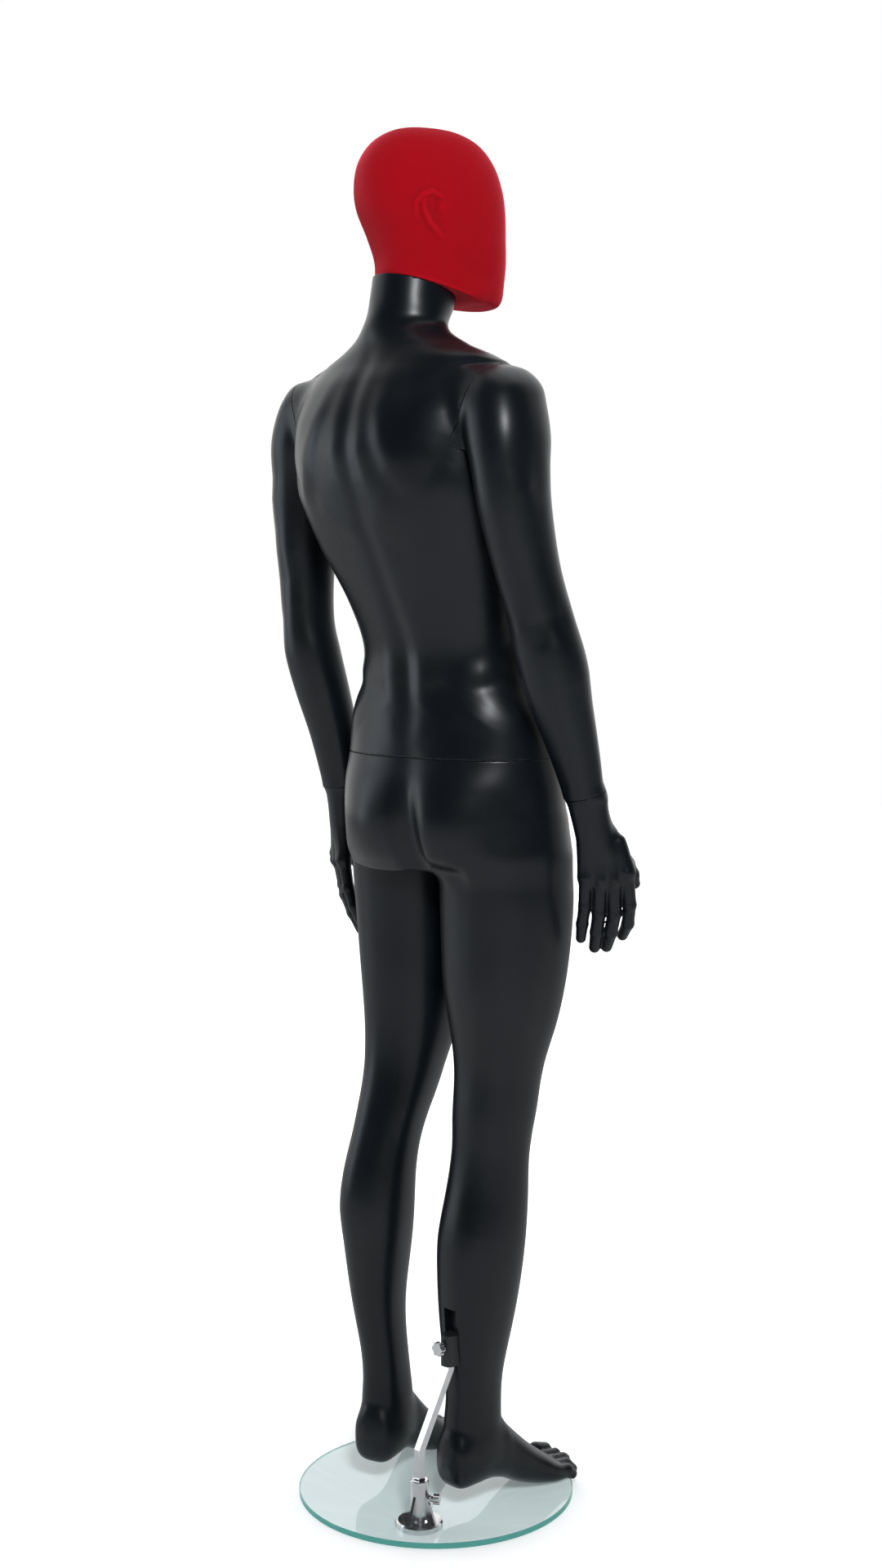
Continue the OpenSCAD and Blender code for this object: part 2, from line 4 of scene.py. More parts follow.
import bmesh
import bpy
import numpy as np
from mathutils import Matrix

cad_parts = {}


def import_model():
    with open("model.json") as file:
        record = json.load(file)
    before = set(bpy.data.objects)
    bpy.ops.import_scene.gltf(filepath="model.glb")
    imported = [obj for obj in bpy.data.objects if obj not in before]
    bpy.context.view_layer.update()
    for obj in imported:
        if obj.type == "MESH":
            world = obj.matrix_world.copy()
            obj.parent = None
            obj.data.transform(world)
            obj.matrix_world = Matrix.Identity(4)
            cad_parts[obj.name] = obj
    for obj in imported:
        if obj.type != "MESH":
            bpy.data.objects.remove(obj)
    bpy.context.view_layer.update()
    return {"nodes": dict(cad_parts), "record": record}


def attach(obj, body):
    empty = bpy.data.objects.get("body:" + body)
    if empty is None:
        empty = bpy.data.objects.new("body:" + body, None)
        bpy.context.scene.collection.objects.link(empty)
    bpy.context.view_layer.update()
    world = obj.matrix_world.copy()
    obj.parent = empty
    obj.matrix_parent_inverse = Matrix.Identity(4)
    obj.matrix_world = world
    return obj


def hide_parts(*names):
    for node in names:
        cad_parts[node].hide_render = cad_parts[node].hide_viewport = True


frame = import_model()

import openvdb as vdb
from mathutils import Matrix, Vector

# A standing shop mannequin. Lengths below are millimetres in the row frame and become metres
# when a mesh is made. The figure faces -Y and its right side is -X.

MM = 0.001
NODES = frame["nodes"]

# ---------------------------------------------------------------- sections of the body
# Level sections: x, y, z, half width, depth behind, depth in front, turn
PELVIS = [
    (-17, -26, 862, 160, 92, 89, 0), (-17, -25, 882, 164, 103, 94, 0),
    (-17, -24, 905, 168, 112, 97, 0), (-16, -22, 950, 167, 117, 98, 0),
    (-15, -21, 990, 164, 112, 99, 0), (-15, -20, 1028, 158, 102, 99, 0),
]
TRUNK = [
    (-14, -17, 1080, 150, 95, 98, 0), (-13, -13, 1130, 128, 88, 93, -1),
    (-11, -8, 1175, 122, 86, 92, -2), (-8, 8, 1232, 131, 90, 98, -3),
    (-2, 33, 1308, 155, 98, 108, -4), (2, 47, 1362, 170, 106, 117, -5),
    (3, 54, 1396, 170, 110, 118, -5), (3, 58, 1432, 166, 111, 115, -5),
    (3, 60, 1475, 166, 100, 100, -5), (3, 61, 1512, 161, 82, 78, -5),
    (-4, 60, 1540, 150, 66, 62, -6), (-1, 59, 1562, 107, 58, 56, -8),
    (4, 55, 1588, 64, 56, 54, -12), (1, 46, 1618, 56, 56, 55, -16),
    (0, 38, 1668, 54, 55, 54, -18), (-1, 34, 1690, 54, 55, 54, -18),
]
RIGHT_ARM = [
    (-228, -46, 940, 27, 23, 23, -20), (-224, -34, 985, 28, 25, 25, -18),
    (-220, -18, 1040, 33, 31, 31, -14), (-213, 4, 1110, 41, 40, 39, -10),
    (-208, 18, 1165, 45, 42, 42, -8), (-203, 31, 1215, 41, 41, 41, -6),
    (-199, 55, 1280, 39, 43, 43, -5), (-198, 77, 1350, 41, 48, 48, -5),
    (-196, 84, 1400, 43, 51, 52, -5), (-190, 83, 1440, 47, 54, 56, -5),
    (-181, 79, 1478, 48, 53, 54, -5), (-175, 74, 1504, 44, 48, 49, -5),
    (-166, 70, 1523, 32, 35, 35, -5), (-160, 68, 1531, 13, 14, 14, -5),
]
LEFT_ARM = [
    (194, -32, 930, 27, 23, 23, 14), (193, -21, 975, 28, 25, 25, 12),
    (194, -7, 1040, 33, 31, 31, 8), (197, 13, 1105, 37, 37, 34, 4),
    (201, 27, 1160, 37, 40, 35, 0), (204, 33, 1210, 33, 38, 33, -3),
    (205, 35, 1280, 34, 42, 38, -5), (203, 35, 1350, 40, 48, 48, -5),
    (199, 38, 1400, 42, 50, 52, -5), (190, 42, 1440, 45, 53, 55, -5),
    (180, 43, 1478, 46, 52, 54, -5), (172, 45, 1504, 42, 47, 49, -5),
    (168, 45, 1523, 32, 35, 35, -5), (162, 45, 1531, 13, 14, 14, -5),
]
RIGHT_LEG = [
    (-79, 10, 74, 30, 36, 30, -8), (-79, 11, 104, 33, 48, 36, -8),
    (-79, 12, 134, 33, 42, 38, -8), (-80, 13, 168, 31, 39, 37, -8),
    (-81, 15, 205, 35, 41, 43, -8), (-82, 10, 261, 43, 52, 51, -8),
    (-83, 5, 320, 50, 59, 56, -8), (-84, 0, 377, 53, 62, 58, -8),
    (-85, -7, 435, 51, 56, 56, -8), (-87, -12, 493, 48, 51, 52, -8),
    (-89, -16, 550, 51, 54, 60, -8), (-91, -22, 605, 55, 55, 60, -7),
    (-94, -27, 661, 66, 67, 70, -6), (-97, -27, 718, 76, 79, 82, -5),
    (-99, -29, 790, 82, 84, 87, -4), (-101, -31, 860, 84, 91, 84, -2),
    (-100, -29, 905, 78, 90, 78, 0), (-98, -27, 940, 66, 74, 66, 0),
]
LEFT_LEG = [
    (70, 20, 74, 30, 36, 30, 12), (70, 21, 104, 33, 46, 36, 12),
    (71, 22, 134, 32, 40, 37, 12), (71.5, 23, 168, 30, 36, 35, 12),
    (73.5, 26.5, 205, 30, 37, 35, 12), (78, 31, 261, 34, 41, 38, 12),
    (78, 32, 320, 41, 48, 45, 12), (78, 32, 377, 47, 55, 50, 12),
    (78, 32, 425, 49, 55, 50, 12), (76, 24, 475, 46, 50, 48, 12),
    (73, 10, 521, 46, 50, 53, 12), (70, -6, 565, 50, 52, 60, 12),
    (69, -18, 615, 56, 56, 62, 10), (68, -27, 665, 63, 64, 70, 8),
    (68, -34, 720, 70, 75, 78, 6), (69, -38, 790, 76, 82, 86, 4),
    (69, -38, 876, 80, 90, 68, 2), (69, -38, 900, 78, 92, 62, 0),
]
HEAD = [
    (-10, 13, 1611, 60, 70, 87, -24), (-10, 13, 1625, 63, 77, 91, -24),
    (-10, 12, 1642, 65, 80, 92, -24), (-9, 10, 1674, 69, 80, 94, -24),
    (-8, 13, 1705, 73, 87, 96, -24), (-6, 18, 1740, 76, 97, 100, -24),
    (-4, 21, 1770, 75, 97, 99, -24), (-3, 24, 1800, 67, 89, 91, -24),
    (-2, 26, 1825, 53, 70, 73, -24), (-1, 28, 1840, 32, 43, 46, -24),
    (-1, 29, 1846, 9, 13, 13, -24),
]
ARMS = {"right": RIGHT_ARM, "left": LEFT_ARM}
# Foot along its own length from the ankle's axis: forward, sole, top, half width, inner shift
FOOT = [
    (-54, 62, 96, 16, 0), (-48, 47, 112, 25, 0), (-36, 40, 122, 30, 0), (-14, 41, 128, 33, 0),
    (12, 42, 130, 33, 0), (34, 37, 126, 34, 1), (48, 31, 112, 35, 2), (66, 22, 94, 37, 2),
    (90, 14, 72, 40, 2), (116, 9.2, 52, 44, 2), (134, 8.5, 38, 44, 3), (148, 9, 25, 41, 6),
    (158, 11, 20, 34, 9), (166, 13, 17, 24, 12),
]
# Toes from the big one: start forward, start across, tip forward, tip across, radius, lift
TOES = [
    (140, 27, 184, 23, 13, 0), (136, 9, 185, 6, 10, 4), (132, -7, 178, -10, 9.5, 4),
    (127, -21, 170, -23.5, 9, 3.5), (120, -34, 159, -35, 8.6, 2.5),
]
FEET = {"right": (-80, 12, -8, -1), "left": (71, 21, 12, 1)}
ROUNDNESS = 2.33
# Least share of a section's radius that a distance is measured from, so its middle stays finite
MIDDLE = 0.02

# ---------------------------------------------------------------- strength of the modelling
# How deep and how wide the marks of the back, arms and legs are
BACK_DEPTH = 0.46
BACK_SPREAD = 1.5
ARM_DEPTH = 0.5
ARM_SPREAD = 1.4
LEG_DEPTH = {"right": 0.22, "left": 0.28}
LEG_SPREAD = 1.7
# Level offsets that leg sections are averaged over
EVENING = (-32, -24, -16, -8, 0, 8, 16, 24, 32)
# How far the jaw hangs below the plane of the neck seam
JAW_DROP = 5
# Marks only act within this distance of the surface
RELIEF_BAND = 16

# ---------------------------------------------------------------- seams
SEAM_GAP = 0.5
CHAMFER = 0.35
WAIST = (-15, -20, 1029)
THIGH = (69, -38, 876)
NECK = (0, 40, 1640)
NECK_TURN = (16, 0, -18)
SHOULDER = {"right": (-155, 74, 1470), "left": (157, 44, 1470)}
SHOULDER_TURN = {"right": (0, -90, -5), "left": (0, 90, -5)}
SHOULDER_SEAM = {"right": (0, -111, -5), "left": (0, 111, -5)}
WRIST = {"right": (-224, -34, 985), "left": (193, -21, 975)}
WRIST_TURN = {"right": (-16, 6, 0), "left": (-13, -2, 0)}
HAND_TURN = {"right": (-5, 4.5, 38), "left": (-0.5, 0, -38)}
# The shoulder seam turns outwards below this level, to pass under the arm
SEAM_BEND_Z = 1436
SEAM_BEND = 0.08
ARM_GAP = 1.5
# The trunk runs in to the arms above this level and leaves them below it
ARMPIT_Z = 1424
# Radius of the pocket that each hidden fitting has in the seam
WAIST_POCKET = 46.4
NECK_POCKET = 34.4
THIGH_POCKET = 36.4
SHOULDER_POCKET = 28.4
WRIST_POCKET = 15.4
PEG_HOLE = 6.3
# The hips leave a little more room round the thigh's fitting
THIGH_RING = 36.6
# Axis of the rod socket, the rod's turn and how far in front of it the calf fitting is
ROD = (-73, 117)
ROD_TURN = -7
CALF_REACH = 53
FITTING_LOW = 216
FITTING_TOP = 291
FITTING_HALF = 11.2


def turned(angles):
    """Rotation matrix of angles in degrees about X, then Y, then Z."""
    a, b, c = (math.radians(v) for v in angles)
    rx = np.array([[1, 0, 0], [0, math.cos(a), -math.sin(a)], [0, math.sin(a), math.cos(a)]])
    ry = np.array([[math.cos(b), 0, math.sin(b)], [0, 1, 0], [-math.sin(b), 0, math.cos(b)]])
    rz = np.array([[math.cos(c), -math.sin(c), 0], [math.sin(c), math.cos(c), 0], [0, 0, 1]])
    return rz @ ry @ rx


def seam_axis(angles):
    return turned(angles) @ np.array([0.0, 0.0, 1.0])


# ---------------------------------------------------------------- implicit shapes
class Grid:
    """Regular grid of sample points, open along each axis."""

    def __init__(self, low, high, step):
        self.low = np.array(low, float)
        self.step = step
        n = [int(math.ceil((high[k] - low[k]) / step)) + 1 for k in range(3)]
        axes = [np.float32(low[k]) + np.arange(n[k], dtype=np.float32) * np.float32(step)
                for k in range(3)]
        self.x = axes[0][:, None, None]
        self.y = axes[1][None, :, None]
        self.z = axes[2][None, None, :]
        self.levels = axes[2]


def smooth_path(path, m=10):
    """Sections closer together, on a smooth curve through the given ones, by rising level."""
    p = np.array(path, float)
    out = []
    for k in range(len(p) - 1):
        a, b, c, d = p[max(k - 1, 0)], p[k], p[k + 1], p[min(k + 2, len(p) - 1)]
        for t in np.arange(m) / m:
            out.append(0.5 * (2 * b + (c - a) * t + (2 * a - 5 * b + 4 * c - d) * t * t
                              + (3 * b - a - 3 * c + d) * t ** 3))
    out.append(p[-1])
    out = np.array(out)
    return out[np.argsort(out[:, 2])]


def at_level(path, z):
    """Section values at the levels z."""
    dense = smooth_path(path)
    steps = EVENING if path in (RIGHT_LEG, LEFT_LEG) else (0,)
    return [sum(np.interp(z + s, dense[:, 2], dense[:, k]) for s in steps) / len(steps)
            for k in (0, 1, 3, 4, 5, 6)]


def trunk_roundness(g):
    """The shoulders run up to the neck as a ridge, so their sections grow pointed."""
    return np.interp(g.levels, (1470, 1535, 1572, 1600, 1625),
                     (ROUNDNESS, 1.9, 1.75, 1.85, 2.1)).astype(np.float32)[None, None, :]


def oval(u, v, wide, deep, n):
    """Distance, near the rim, from a superellipse of exponent n."""
    rho = (np.abs(u / wide) ** n + np.abs(v / deep) ** n) ** (1 / n)
    return np.sqrt(u * u + v * v) * (1 - 1 / np.maximum(rho, MIDDLE))


def loft(g, path, n=ROUNDNESS, cap=6.0):
    """Signed distance, near the surface, of a loft through level sections."""
    cx, cy, hw, back, front, turn = (v[None, None, :].astype(np.float32)
                                     for v in at_level(path, g.levels))
    t = np.radians(turn)
    dx, dy = g.x - cx, g.y - cy
    u = dx * np.cos(t) + dy * np.sin(t)
    v = -dx * np.sin(t) + dy * np.cos(t)
    f = oval(u, v, hw, np.where(v > 0, back, front), n)
    low, high = path[0][2], path[-1][2]
    return smax(f, np.maximum(low - g.z, g.z - high), cap)


def smin(a, b, k):
    h = np.clip(0.5 + 0.5 * (b - a) / k, 0, 1)
    return b + (a - b) * h - k * h * (1 - h)


def smax(a, b, k):
    return -smin(-a, -b, k)


def local(g, origin, matrix):
    """Coordinates of the grid points in a turned frame."""
    x, y, z = g.x - origin[0], g.y - origin[1], g.z - origin[2]
    return [matrix[0][k] * x + matrix[1][k] * y + matrix[2][k] * z for k in range(3)]


def half_space(g, c, axis):
    """Distance beyond a plane through c, positive on the axis' side."""
    return ((g.x - c[0]) * np.float32(axis[0]) + (g.y - c[1]) * np.float32(axis[1])
            + (g.z - c[2]) * np.float32(axis[2]))


def round_cone(p, a, ra, b, rb):
    """Distance to a rounded length whose radius changes from ra to rb."""
    a, b = np.array(a, float), np.array(b, float)
    d = b - a
    t = ((p[0] - a[0]) * d[0] + (p[1] - a[1]) * d[1] + (p[2] - a[2]) * d[2]) / (d @ d)
    t = np.clip(t, 0, 1)
    q = ((p[0] - a[0] - t * d[0]) ** 2 + (p[1] - a[1] - t * d[1]) ** 2
         + (p[2] - a[2] - t * d[2]) ** 2)
    return np.sqrt(q) - (ra + t * (rb - ra))


def foot(g, side):
    """Sole, instep and toes of one foot."""
    ax, ay, turn, sign = FEET[side]
    t = math.radians(turn)
    dx, dy = g.x - ax, g.y - ay
    ahead = dx * math.sin(t) - dy * math.cos(t)
    inner = -sign * (dx * math.cos(t) + dy * math.sin(t))
    dense = smooth_path([(0, 0, f[0]) + tuple(f[1:]) for f in FOOT])
    sole, top, hw, shift = (np.interp(ahead, dense[:, 2], dense[:, k]) for k in (3, 4, 5, 6))
    mid, half = (sole + top) / 2, (top - sole) / 2
    u, v = inner - shift, g.z - mid
    f = oval(u, v, hw, half, np.where(v > 0, 2.2, 3.2))
    ends = np.maximum(FOOT[0][0] - ahead, ahead - FOOT[-1][0])
    f = smax(f, ends, 14)
    p = (ahead, inner, g.z + 0 * ahead)
    toes = None
    for start, across, tip, tip_across, r, lift in TOES:
        base = (start, across, 8.6 + r + 14)
        knuckle = (start + 0.6 * (tip - start), (across + tip_across) / 2, 9.4 + r + lift + 4)
        end = (tip - 0.85 * r, tip_across, 8.6 + r * 0.92)
        toe = smin(round_cone(p, base, r * 0.8, knuckle, r * 0.92),
                   round_cone(p, knuckle, r * 0.92, end, r * 0.9), 3)
        toes = toe if toes is None else smin(toes, toe, 0.8)
    f = smin(f, toes, 4)
    return smax(f, 8.4 - g.z + 0 * f, 3)


def loft_at(p, path, n=ROUNDNESS):
    """Loft through level sections at free points, in the points' own frame."""
    x, y, z = p
    dense = smooth_path(path)
    cx, cy, hw, back, front = (np.interp(z, dense[:, 2], dense[:, k]) for k in (0, 1, 3, 4, 5))
    u, v = x - cx, y - cy
    return oval(u, v, hw, np.where(v > 0, back, front), n)


# Palm from the knuckles to the wrist in the hand's own frame, fingers from the little one
PALM = [
    (-23, 1, -122, 30, 9.5, 10, 0), (-23, 0, -108, 34, 12, 13, 0),
    (-20, -1, -92, 32, 14, 16, 0), (-15, -1, -76, 28, 16, 18, 0),
    (-10, 0, -56, 24.5, 17.5, 19, 0), (-6.5, 0, -30, 25, 20, 20.5, 0),
    (-3.5, 0, 0, 27, 24, 24, 0), (-3, 0, 16, 27, 24, 24, 0),
]
FINGERS = [
    ((5, 0, -110), (9, -5, -149), (14, -12, -175), (17, -20, -196), 8.4),
    ((-14, 1, -114), (-9, -6, -160), (-4, -14, -188), (0, -24, -211), 9.0),
    ((-32, 1, -114), (-29, -7, -163), (-23, -16, -190), (-16, -28, -212), 9.2),
    ((-49, 0, -106), (-50, -7, -152), (-46, -17, -180), (-38, -31, -199), 8.8),
]
THUMB = [(-14, -6, -34, 13), (-26, -10, -56, 13), (-38, -14, -78, 12), (-50, -20, -100, 10),
         (-56, -26, -116, 9), (-59, -31, -130, 7.2)]


def hand(g, side):
    """Relaxed hand hanging from its wrist."""
    x, y, z = local(g, WRIST[side], turned(HAND_TURN[side]))
    if side == "left":
        x = -x
    p = (x, y, z)
    f = smax(loft_at(p, PALM), np.maximum(PALM[0][2] - z, z - PALM[-1][2]), 22)
    for a, b, c, d, r in FINGERS:
        knuckle = round_cone(p, (a[0] * 0.8 - 3, a[1] - 1, a[2] + 40), 8.5, a, r + 2)
        f = smin(f, knuckle, 10)
        one = round_cone(p, a, r + 0.6, b, r - 0.3)
        one = smin(one, round_cone(p, b, r - 0.3, c, r - 0.6), 3)
        one = smin(one, round_cone(p, c, r - 0.6, d, r - 1.6), 3)
        f = smin(f, one, 4)
    thumb = None
    for a, b in zip(THUMB, THUMB[1:]):
        part = round_cone(p, a[:3], a[3], b[:3], b[3])
        thumb = part if thumb is None else smin(thumb, part, 5)
    return smin(f, thumb, 11)


def nail_marks(side):
    """Small steps at the finger nails and knuckles, as marks for relief()."""
    m = turned(HAND_TURN[side])
    o = np.array(WRIST[side], float)
    sign = -1 if side == "left" else 1

    def world(q):
        return tuple(o + m @ np.array([q[0] * sign, q[1], q[2]]))

    marks = []
    for a, b, c, d, r in FINGERS:
        c3, d3 = np.array(c, float), np.array(d, float)
        along = (d3 - c3) / np.linalg.norm(d3 - c3)
        up = np.array([0, 1, 0]) - along * along[1]
        up /= np.linalg.norm(up)
        side_way = np.cross(along, up)
        root = c3 + along * 12 + up * r
        tip = d3 + along * (r * 0.42) + up * (r * 0.72)
        left = [world(root + side_way * k * 4.4) for k in (-1, -0.5, 0, 0.5, 1)]
        marks.append((left, -0.55, 1.3))
        marks.append(([world(root + side_way * 4.9), world(tip + side_way * 3.6)], -0.5, 1.3))
        marks.append(([world(root - side_way * 4.9), world(tip - side_way * 3.6)], -0.5, 1.3))
        marks.append(([world(np.array(a, float) + np.array([0, r + 3, 0]))], 1.6, 7))
        marks.append(([world(np.array(b, float) + up * (r + 0.5))], 0.8, 6))
    for k in range(3):
        a = (np.array(FINGERS[k][0], float) + np.array(FINGERS[k + 1][0], float)) / 2
        marks.append(([world(a + np.array([0, 12, 22])), world(a + np.array([0, 11, -4]))],
                      (-0.8, -2.2), (6, 4.5)))
    return marks


# ---------------------------------------------------------------- surface relief
def section(path, z):
    """Middle, half width, depths behind and in front, and turn in radians, at one level."""
    cx, cy, hw, back, front, turn = (float(v[0]) for v in at_level(path, np.array([z])))
    return cx, cy, hw, back, front, math.radians(turn)


def placed(cx, cy, t, u, v, z):
    """Point at u across and v behind the middle of a section turned by t."""
    return (cx + u * math.cos(t) - v * math.sin(t), cy + u * math.sin(t) + v * math.cos(t), z)


def body_point(u, z, front_side):
    """Point on the trunk at a distance u to the left of the middle, at level z."""
    cx, cy, hw, back, front, t = section(PELVIS + TRUNK, z)
    depth = -front if front_side else back
    v = depth * max(1 - abs(u / hw) ** ROUNDNESS, 0.0) ** (1 / ROUNDNESS)
    return placed(cx, cy, t, u, v, z)


def back_point(u, z):
    return body_point(u, z, False)


def front_point(u, z):
    return body_point(u, z, True)


def relief(g, f, marks, strength=1.0, spread=1.0):
    """How far lines raise the surface near f = 0: each mark is (points, height, width)."""
    band = np.nonzero(np.abs(f) < RELIEF_BAND)
    px = g.x[band[0], 0, 0]
    py = g.y[0, band[1], 0]
    pz = g.z[0, 0, band[2]]
    total = np.zeros(len(px), np.float32)
    for points, height, width in marks:
        pts = np.array(points, float)
        heights = np.broadcast_to(np.array(height, float), len(pts)) * strength
        widths = np.broadcast_to(np.array(width, float), len(pts)) * spread
        reach = 3 * widths.max()
        near = ((px > pts[:, 0].min() - reach) & (px < pts[:, 0].max() + reach)
                & (py > pts[:, 1].min() - reach) & (py < pts[:, 1].max() + reach)
                & (pz > pts[:, 2].min() - reach) & (pz < pts[:, 2].max() + reach))
        idx = np.nonzero(near)[0]
        if not len(idx):
            continue
        qx, qy, qz = px[idx], py[idx], pz[idx]
        if len(pts) == 1:
            d2 = (qx - pts[0, 0]) ** 2 + (qy - pts[0, 1]) ** 2 + (qz - pts[0, 2]) ** 2
            total[idx] += heights[0] * np.exp(-d2 / widths[0] ** 2)
            continue
        raised = np.zeros(len(idx))
        best = np.full(len(idx), np.inf)
        for k in range(len(pts) - 1):
            a, b = pts[k], pts[k + 1]
            d = b - a
            t = ((qx - a[0]) * d[0] + (qy - a[1]) * d[1] + (qz - a[2]) * d[2]) / (d @ d)
            t = np.clip(t, 0, 1)
            d2 = ((qx - a[0] - t * d[0]) ** 2 + (qy - a[1] - t * d[1]) ** 2
                  + (qz - a[2] - t * d[2]) ** 2)
            w = widths[k] + t * (widths[k + 1] - widths[k])
            h = heights[k] + t * (heights[k + 1] - heights[k])
            r = d2 / w ** 2
            better = r < best
            best = np.where(better, r, best)
            raised = np.where(better, h, raised)
        total[idx] += (raised * np.exp(-best)).astype(np.float32)
    out = np.zeros(f.shape, np.float32)
    out[band] = total
    return out


def both_sides(points, height, width):
    """A mark on the back and its mirror image."""
    return [([back_point(u, z) for u, z in points], height, width),
            ([back_point(-u, z) for u, z in points], height, width)]


def back_marks():
    spine = [(2, 1600), (2, 1560), (-2, 1510), (-9, 1450), (-11, 1400), (-10, 1350), (-8, 1300),
             (-6, 1240), (-8, 1180), (-5, 1120), (-8, 1075), (-10, 1030)]
    marks = [([back_point(u, z) for u, z in spine],
              (0, -2, -5, -6, -6, -5.5, -5, -6, -7, -7, -4, -3),
              (9, 10, 11, 11, 11, 10, 9, 9, 10, 11, 13, 14))]
    # long muscles beside the spine
    marks += both_sides([(26, 1330), (24, 1260), (27, 1190), (31, 1130), (29, 1080)],
                        (0, 4, 6, 6, 0), (20, 18, 18, 19, 18))
    # shoulder blades: plate, inner edge and lower tip
    marks += both_sides([(88, 1500), (96, 1450), (98, 1410)], (3, 4, 3), (46, 44, 40))
    marks += both_sides([(46, 1545), (48, 1517), (56, 1480), (68, 1443), (84, 1409), (96, 1388)],
                        (0, 3, 4.5, 5, 5, 2), (12, 12, 11, 11, 12, 12))
    marks += both_sides([(30, 1530), (34, 1480), (44, 1430), (60, 1392), (80, 1368), (100, 1352)],
                        (0, -3, -4, -4.5, -4, 0), (12, 13, 13, 12, 12, 12))
    # crease under the shoulder blade towards the armpit
    marks += both_sides([(150, 1440), (143, 1411), (122, 1388), (104, 1378)],
                        (0, -4, -4, 0), (12, 11, 11, 11))
    # lower trapezius running in to the spine, and the broad back muscle's edge
    marks += both_sides([(78, 1380), (52, 1352), (22, 1326), (10, 1300)],
                        (0, 3.5, 4, 0), (13, 12, 11, 10))
    marks += both_sides([(34, 1312), (54, 1300), (88, 1312), (118, 1330)],
                        (-2, -4, -3.5, 0), (14, 14, 15, 16))
    marks += both_sides([(118, 1350), (112, 1300), (98, 1250)], (0, 4, 0), (28, 30, 26))
    # hip bone edge with its crease, and the hollow over the sacrum
    marks += both_sides([(60, 1118), (82, 1130), (106, 1139), (120, 1150)],
                        (0, 4, 6, 2), (15, 13, 12, 13))
    marks += both_sides([(82, 1112), (98, 1122), (112, 1126), (124, 1130)],
                        (0, -3, -5, -3), (9, 9, 9, 10))
    marks += both_sides([(112, 1100), (104, 1084), (92, 1066)], (3, 6, 0), (18, 19, 20))
    marks += both_sides([(34, 1094), (48, 1110), (70, 1128)], (-4, -5, -3), (12, 12, 13))
    marks += both_sides([(20, 1056), (36, 1092), (58, 1122)], (2, 4, 0), (12, 12, 12))
    # flank folds above the hip bone
    marks += both_sides([(118, 1198), (120, 1172), (121, 1156)], (0, -4, -4), (14, 13, 12))
    # top of the trapezius beside the neck, and the long cord of it down the back
    marks += both_sides([(14, 1560), (20, 1520), (22, 1480), (24, 1430), (22, 1380)],
                        (0, 2.5, 3, 3, 0), (11, 11, 11, 11, 10))
    return marks


def hip_marks():
    cleft = [(-8, 1045), (-10, 1010), (-12, 980), (-14, 950), (-16, 915), (-18, 890)]
    marks = [([back_point(u, z) for u, z in cleft],
              (0, -2, -7, -14, -21, -24), (20, 21, 20, 19, 18, 17))]
    marks += both_sides([(74, 968)], 6, 66)
    marks += both_sides([(66, 925)], 7, 46)
    marks += both_sides([(142, 950)], -5, 52)
    marks += [([(-34, 84, 884), (-54, 82, 876), (-80, 76, 872), (-112, 62, 876)],
               (-10, -13, -10, 0), (14, 12, 12, 14))]
    return marks


def arm_marks(side):
    """Shoulder muscle, back of the arm, elbow and forearm."""
    s = -1 if side == "right" else 1
    dy = 0 if side == "right" else -40
    low = 0 if side == "right" else -14
    x = 0 if side == "right" else 2

    def at(px, py, pz):
        fade = min(max((pz - 1180) / 220, 0), 1)
        return (s * (px + x), py + dy * fade + low * (1 - fade) + (6 if side == "left" else 0), pz)

    marks = [
        ([at(218, 104, 1458)], 7, 34),
        ([at(240, 92, 1420), at(240, 84, 1380), at(238, 60, 1350)], (-2, -4, 0), 16),
        ([at(228, 118, 1400), at(232, 108, 1372), at(230, 96, 1330)], (0, 4.5, 0), (15, 16, 16)),
        ([at(206, 124, 1370), at(204, 104, 1300), at(204, 90, 1262)], (0, 4, 0), (16, 18, 14)),
        ([at(216, 112, 1320), at(212, 88, 1262), at(210, 76, 1230)], (0, -4, -2), (10, 11, 10)),
        ([at(196, 74, 1222), at(198, 66, 1196), at(198, 60, 1172)], (3, 6, 1), (11, 11, 12)),
        ([at(222, 62, 1206), at(226, 56, 1186)], (-4, -4), (10, 10)),
        ([at(242, 36, 1212)], -4.5, 13),
        ([at(246, 24, 1180), at(246, 8, 1140), at(240, -2, 1100)], (3, 4, 0), (20, 22, 20)),
        ([at(196, 56, 1160), at(200, 40, 1110), at(206, 20, 1050), at(212, 0, 1005)],
         (2, 2.5, 2, 1.5), (9, 8, 8, 8)),
        ([at(178, -10, 1330), at(178, -14, 1290)], (4, 0), (26, 24)),
        ([at(232, -14, 1000)], 1.4, 16),
    ]
    return marks


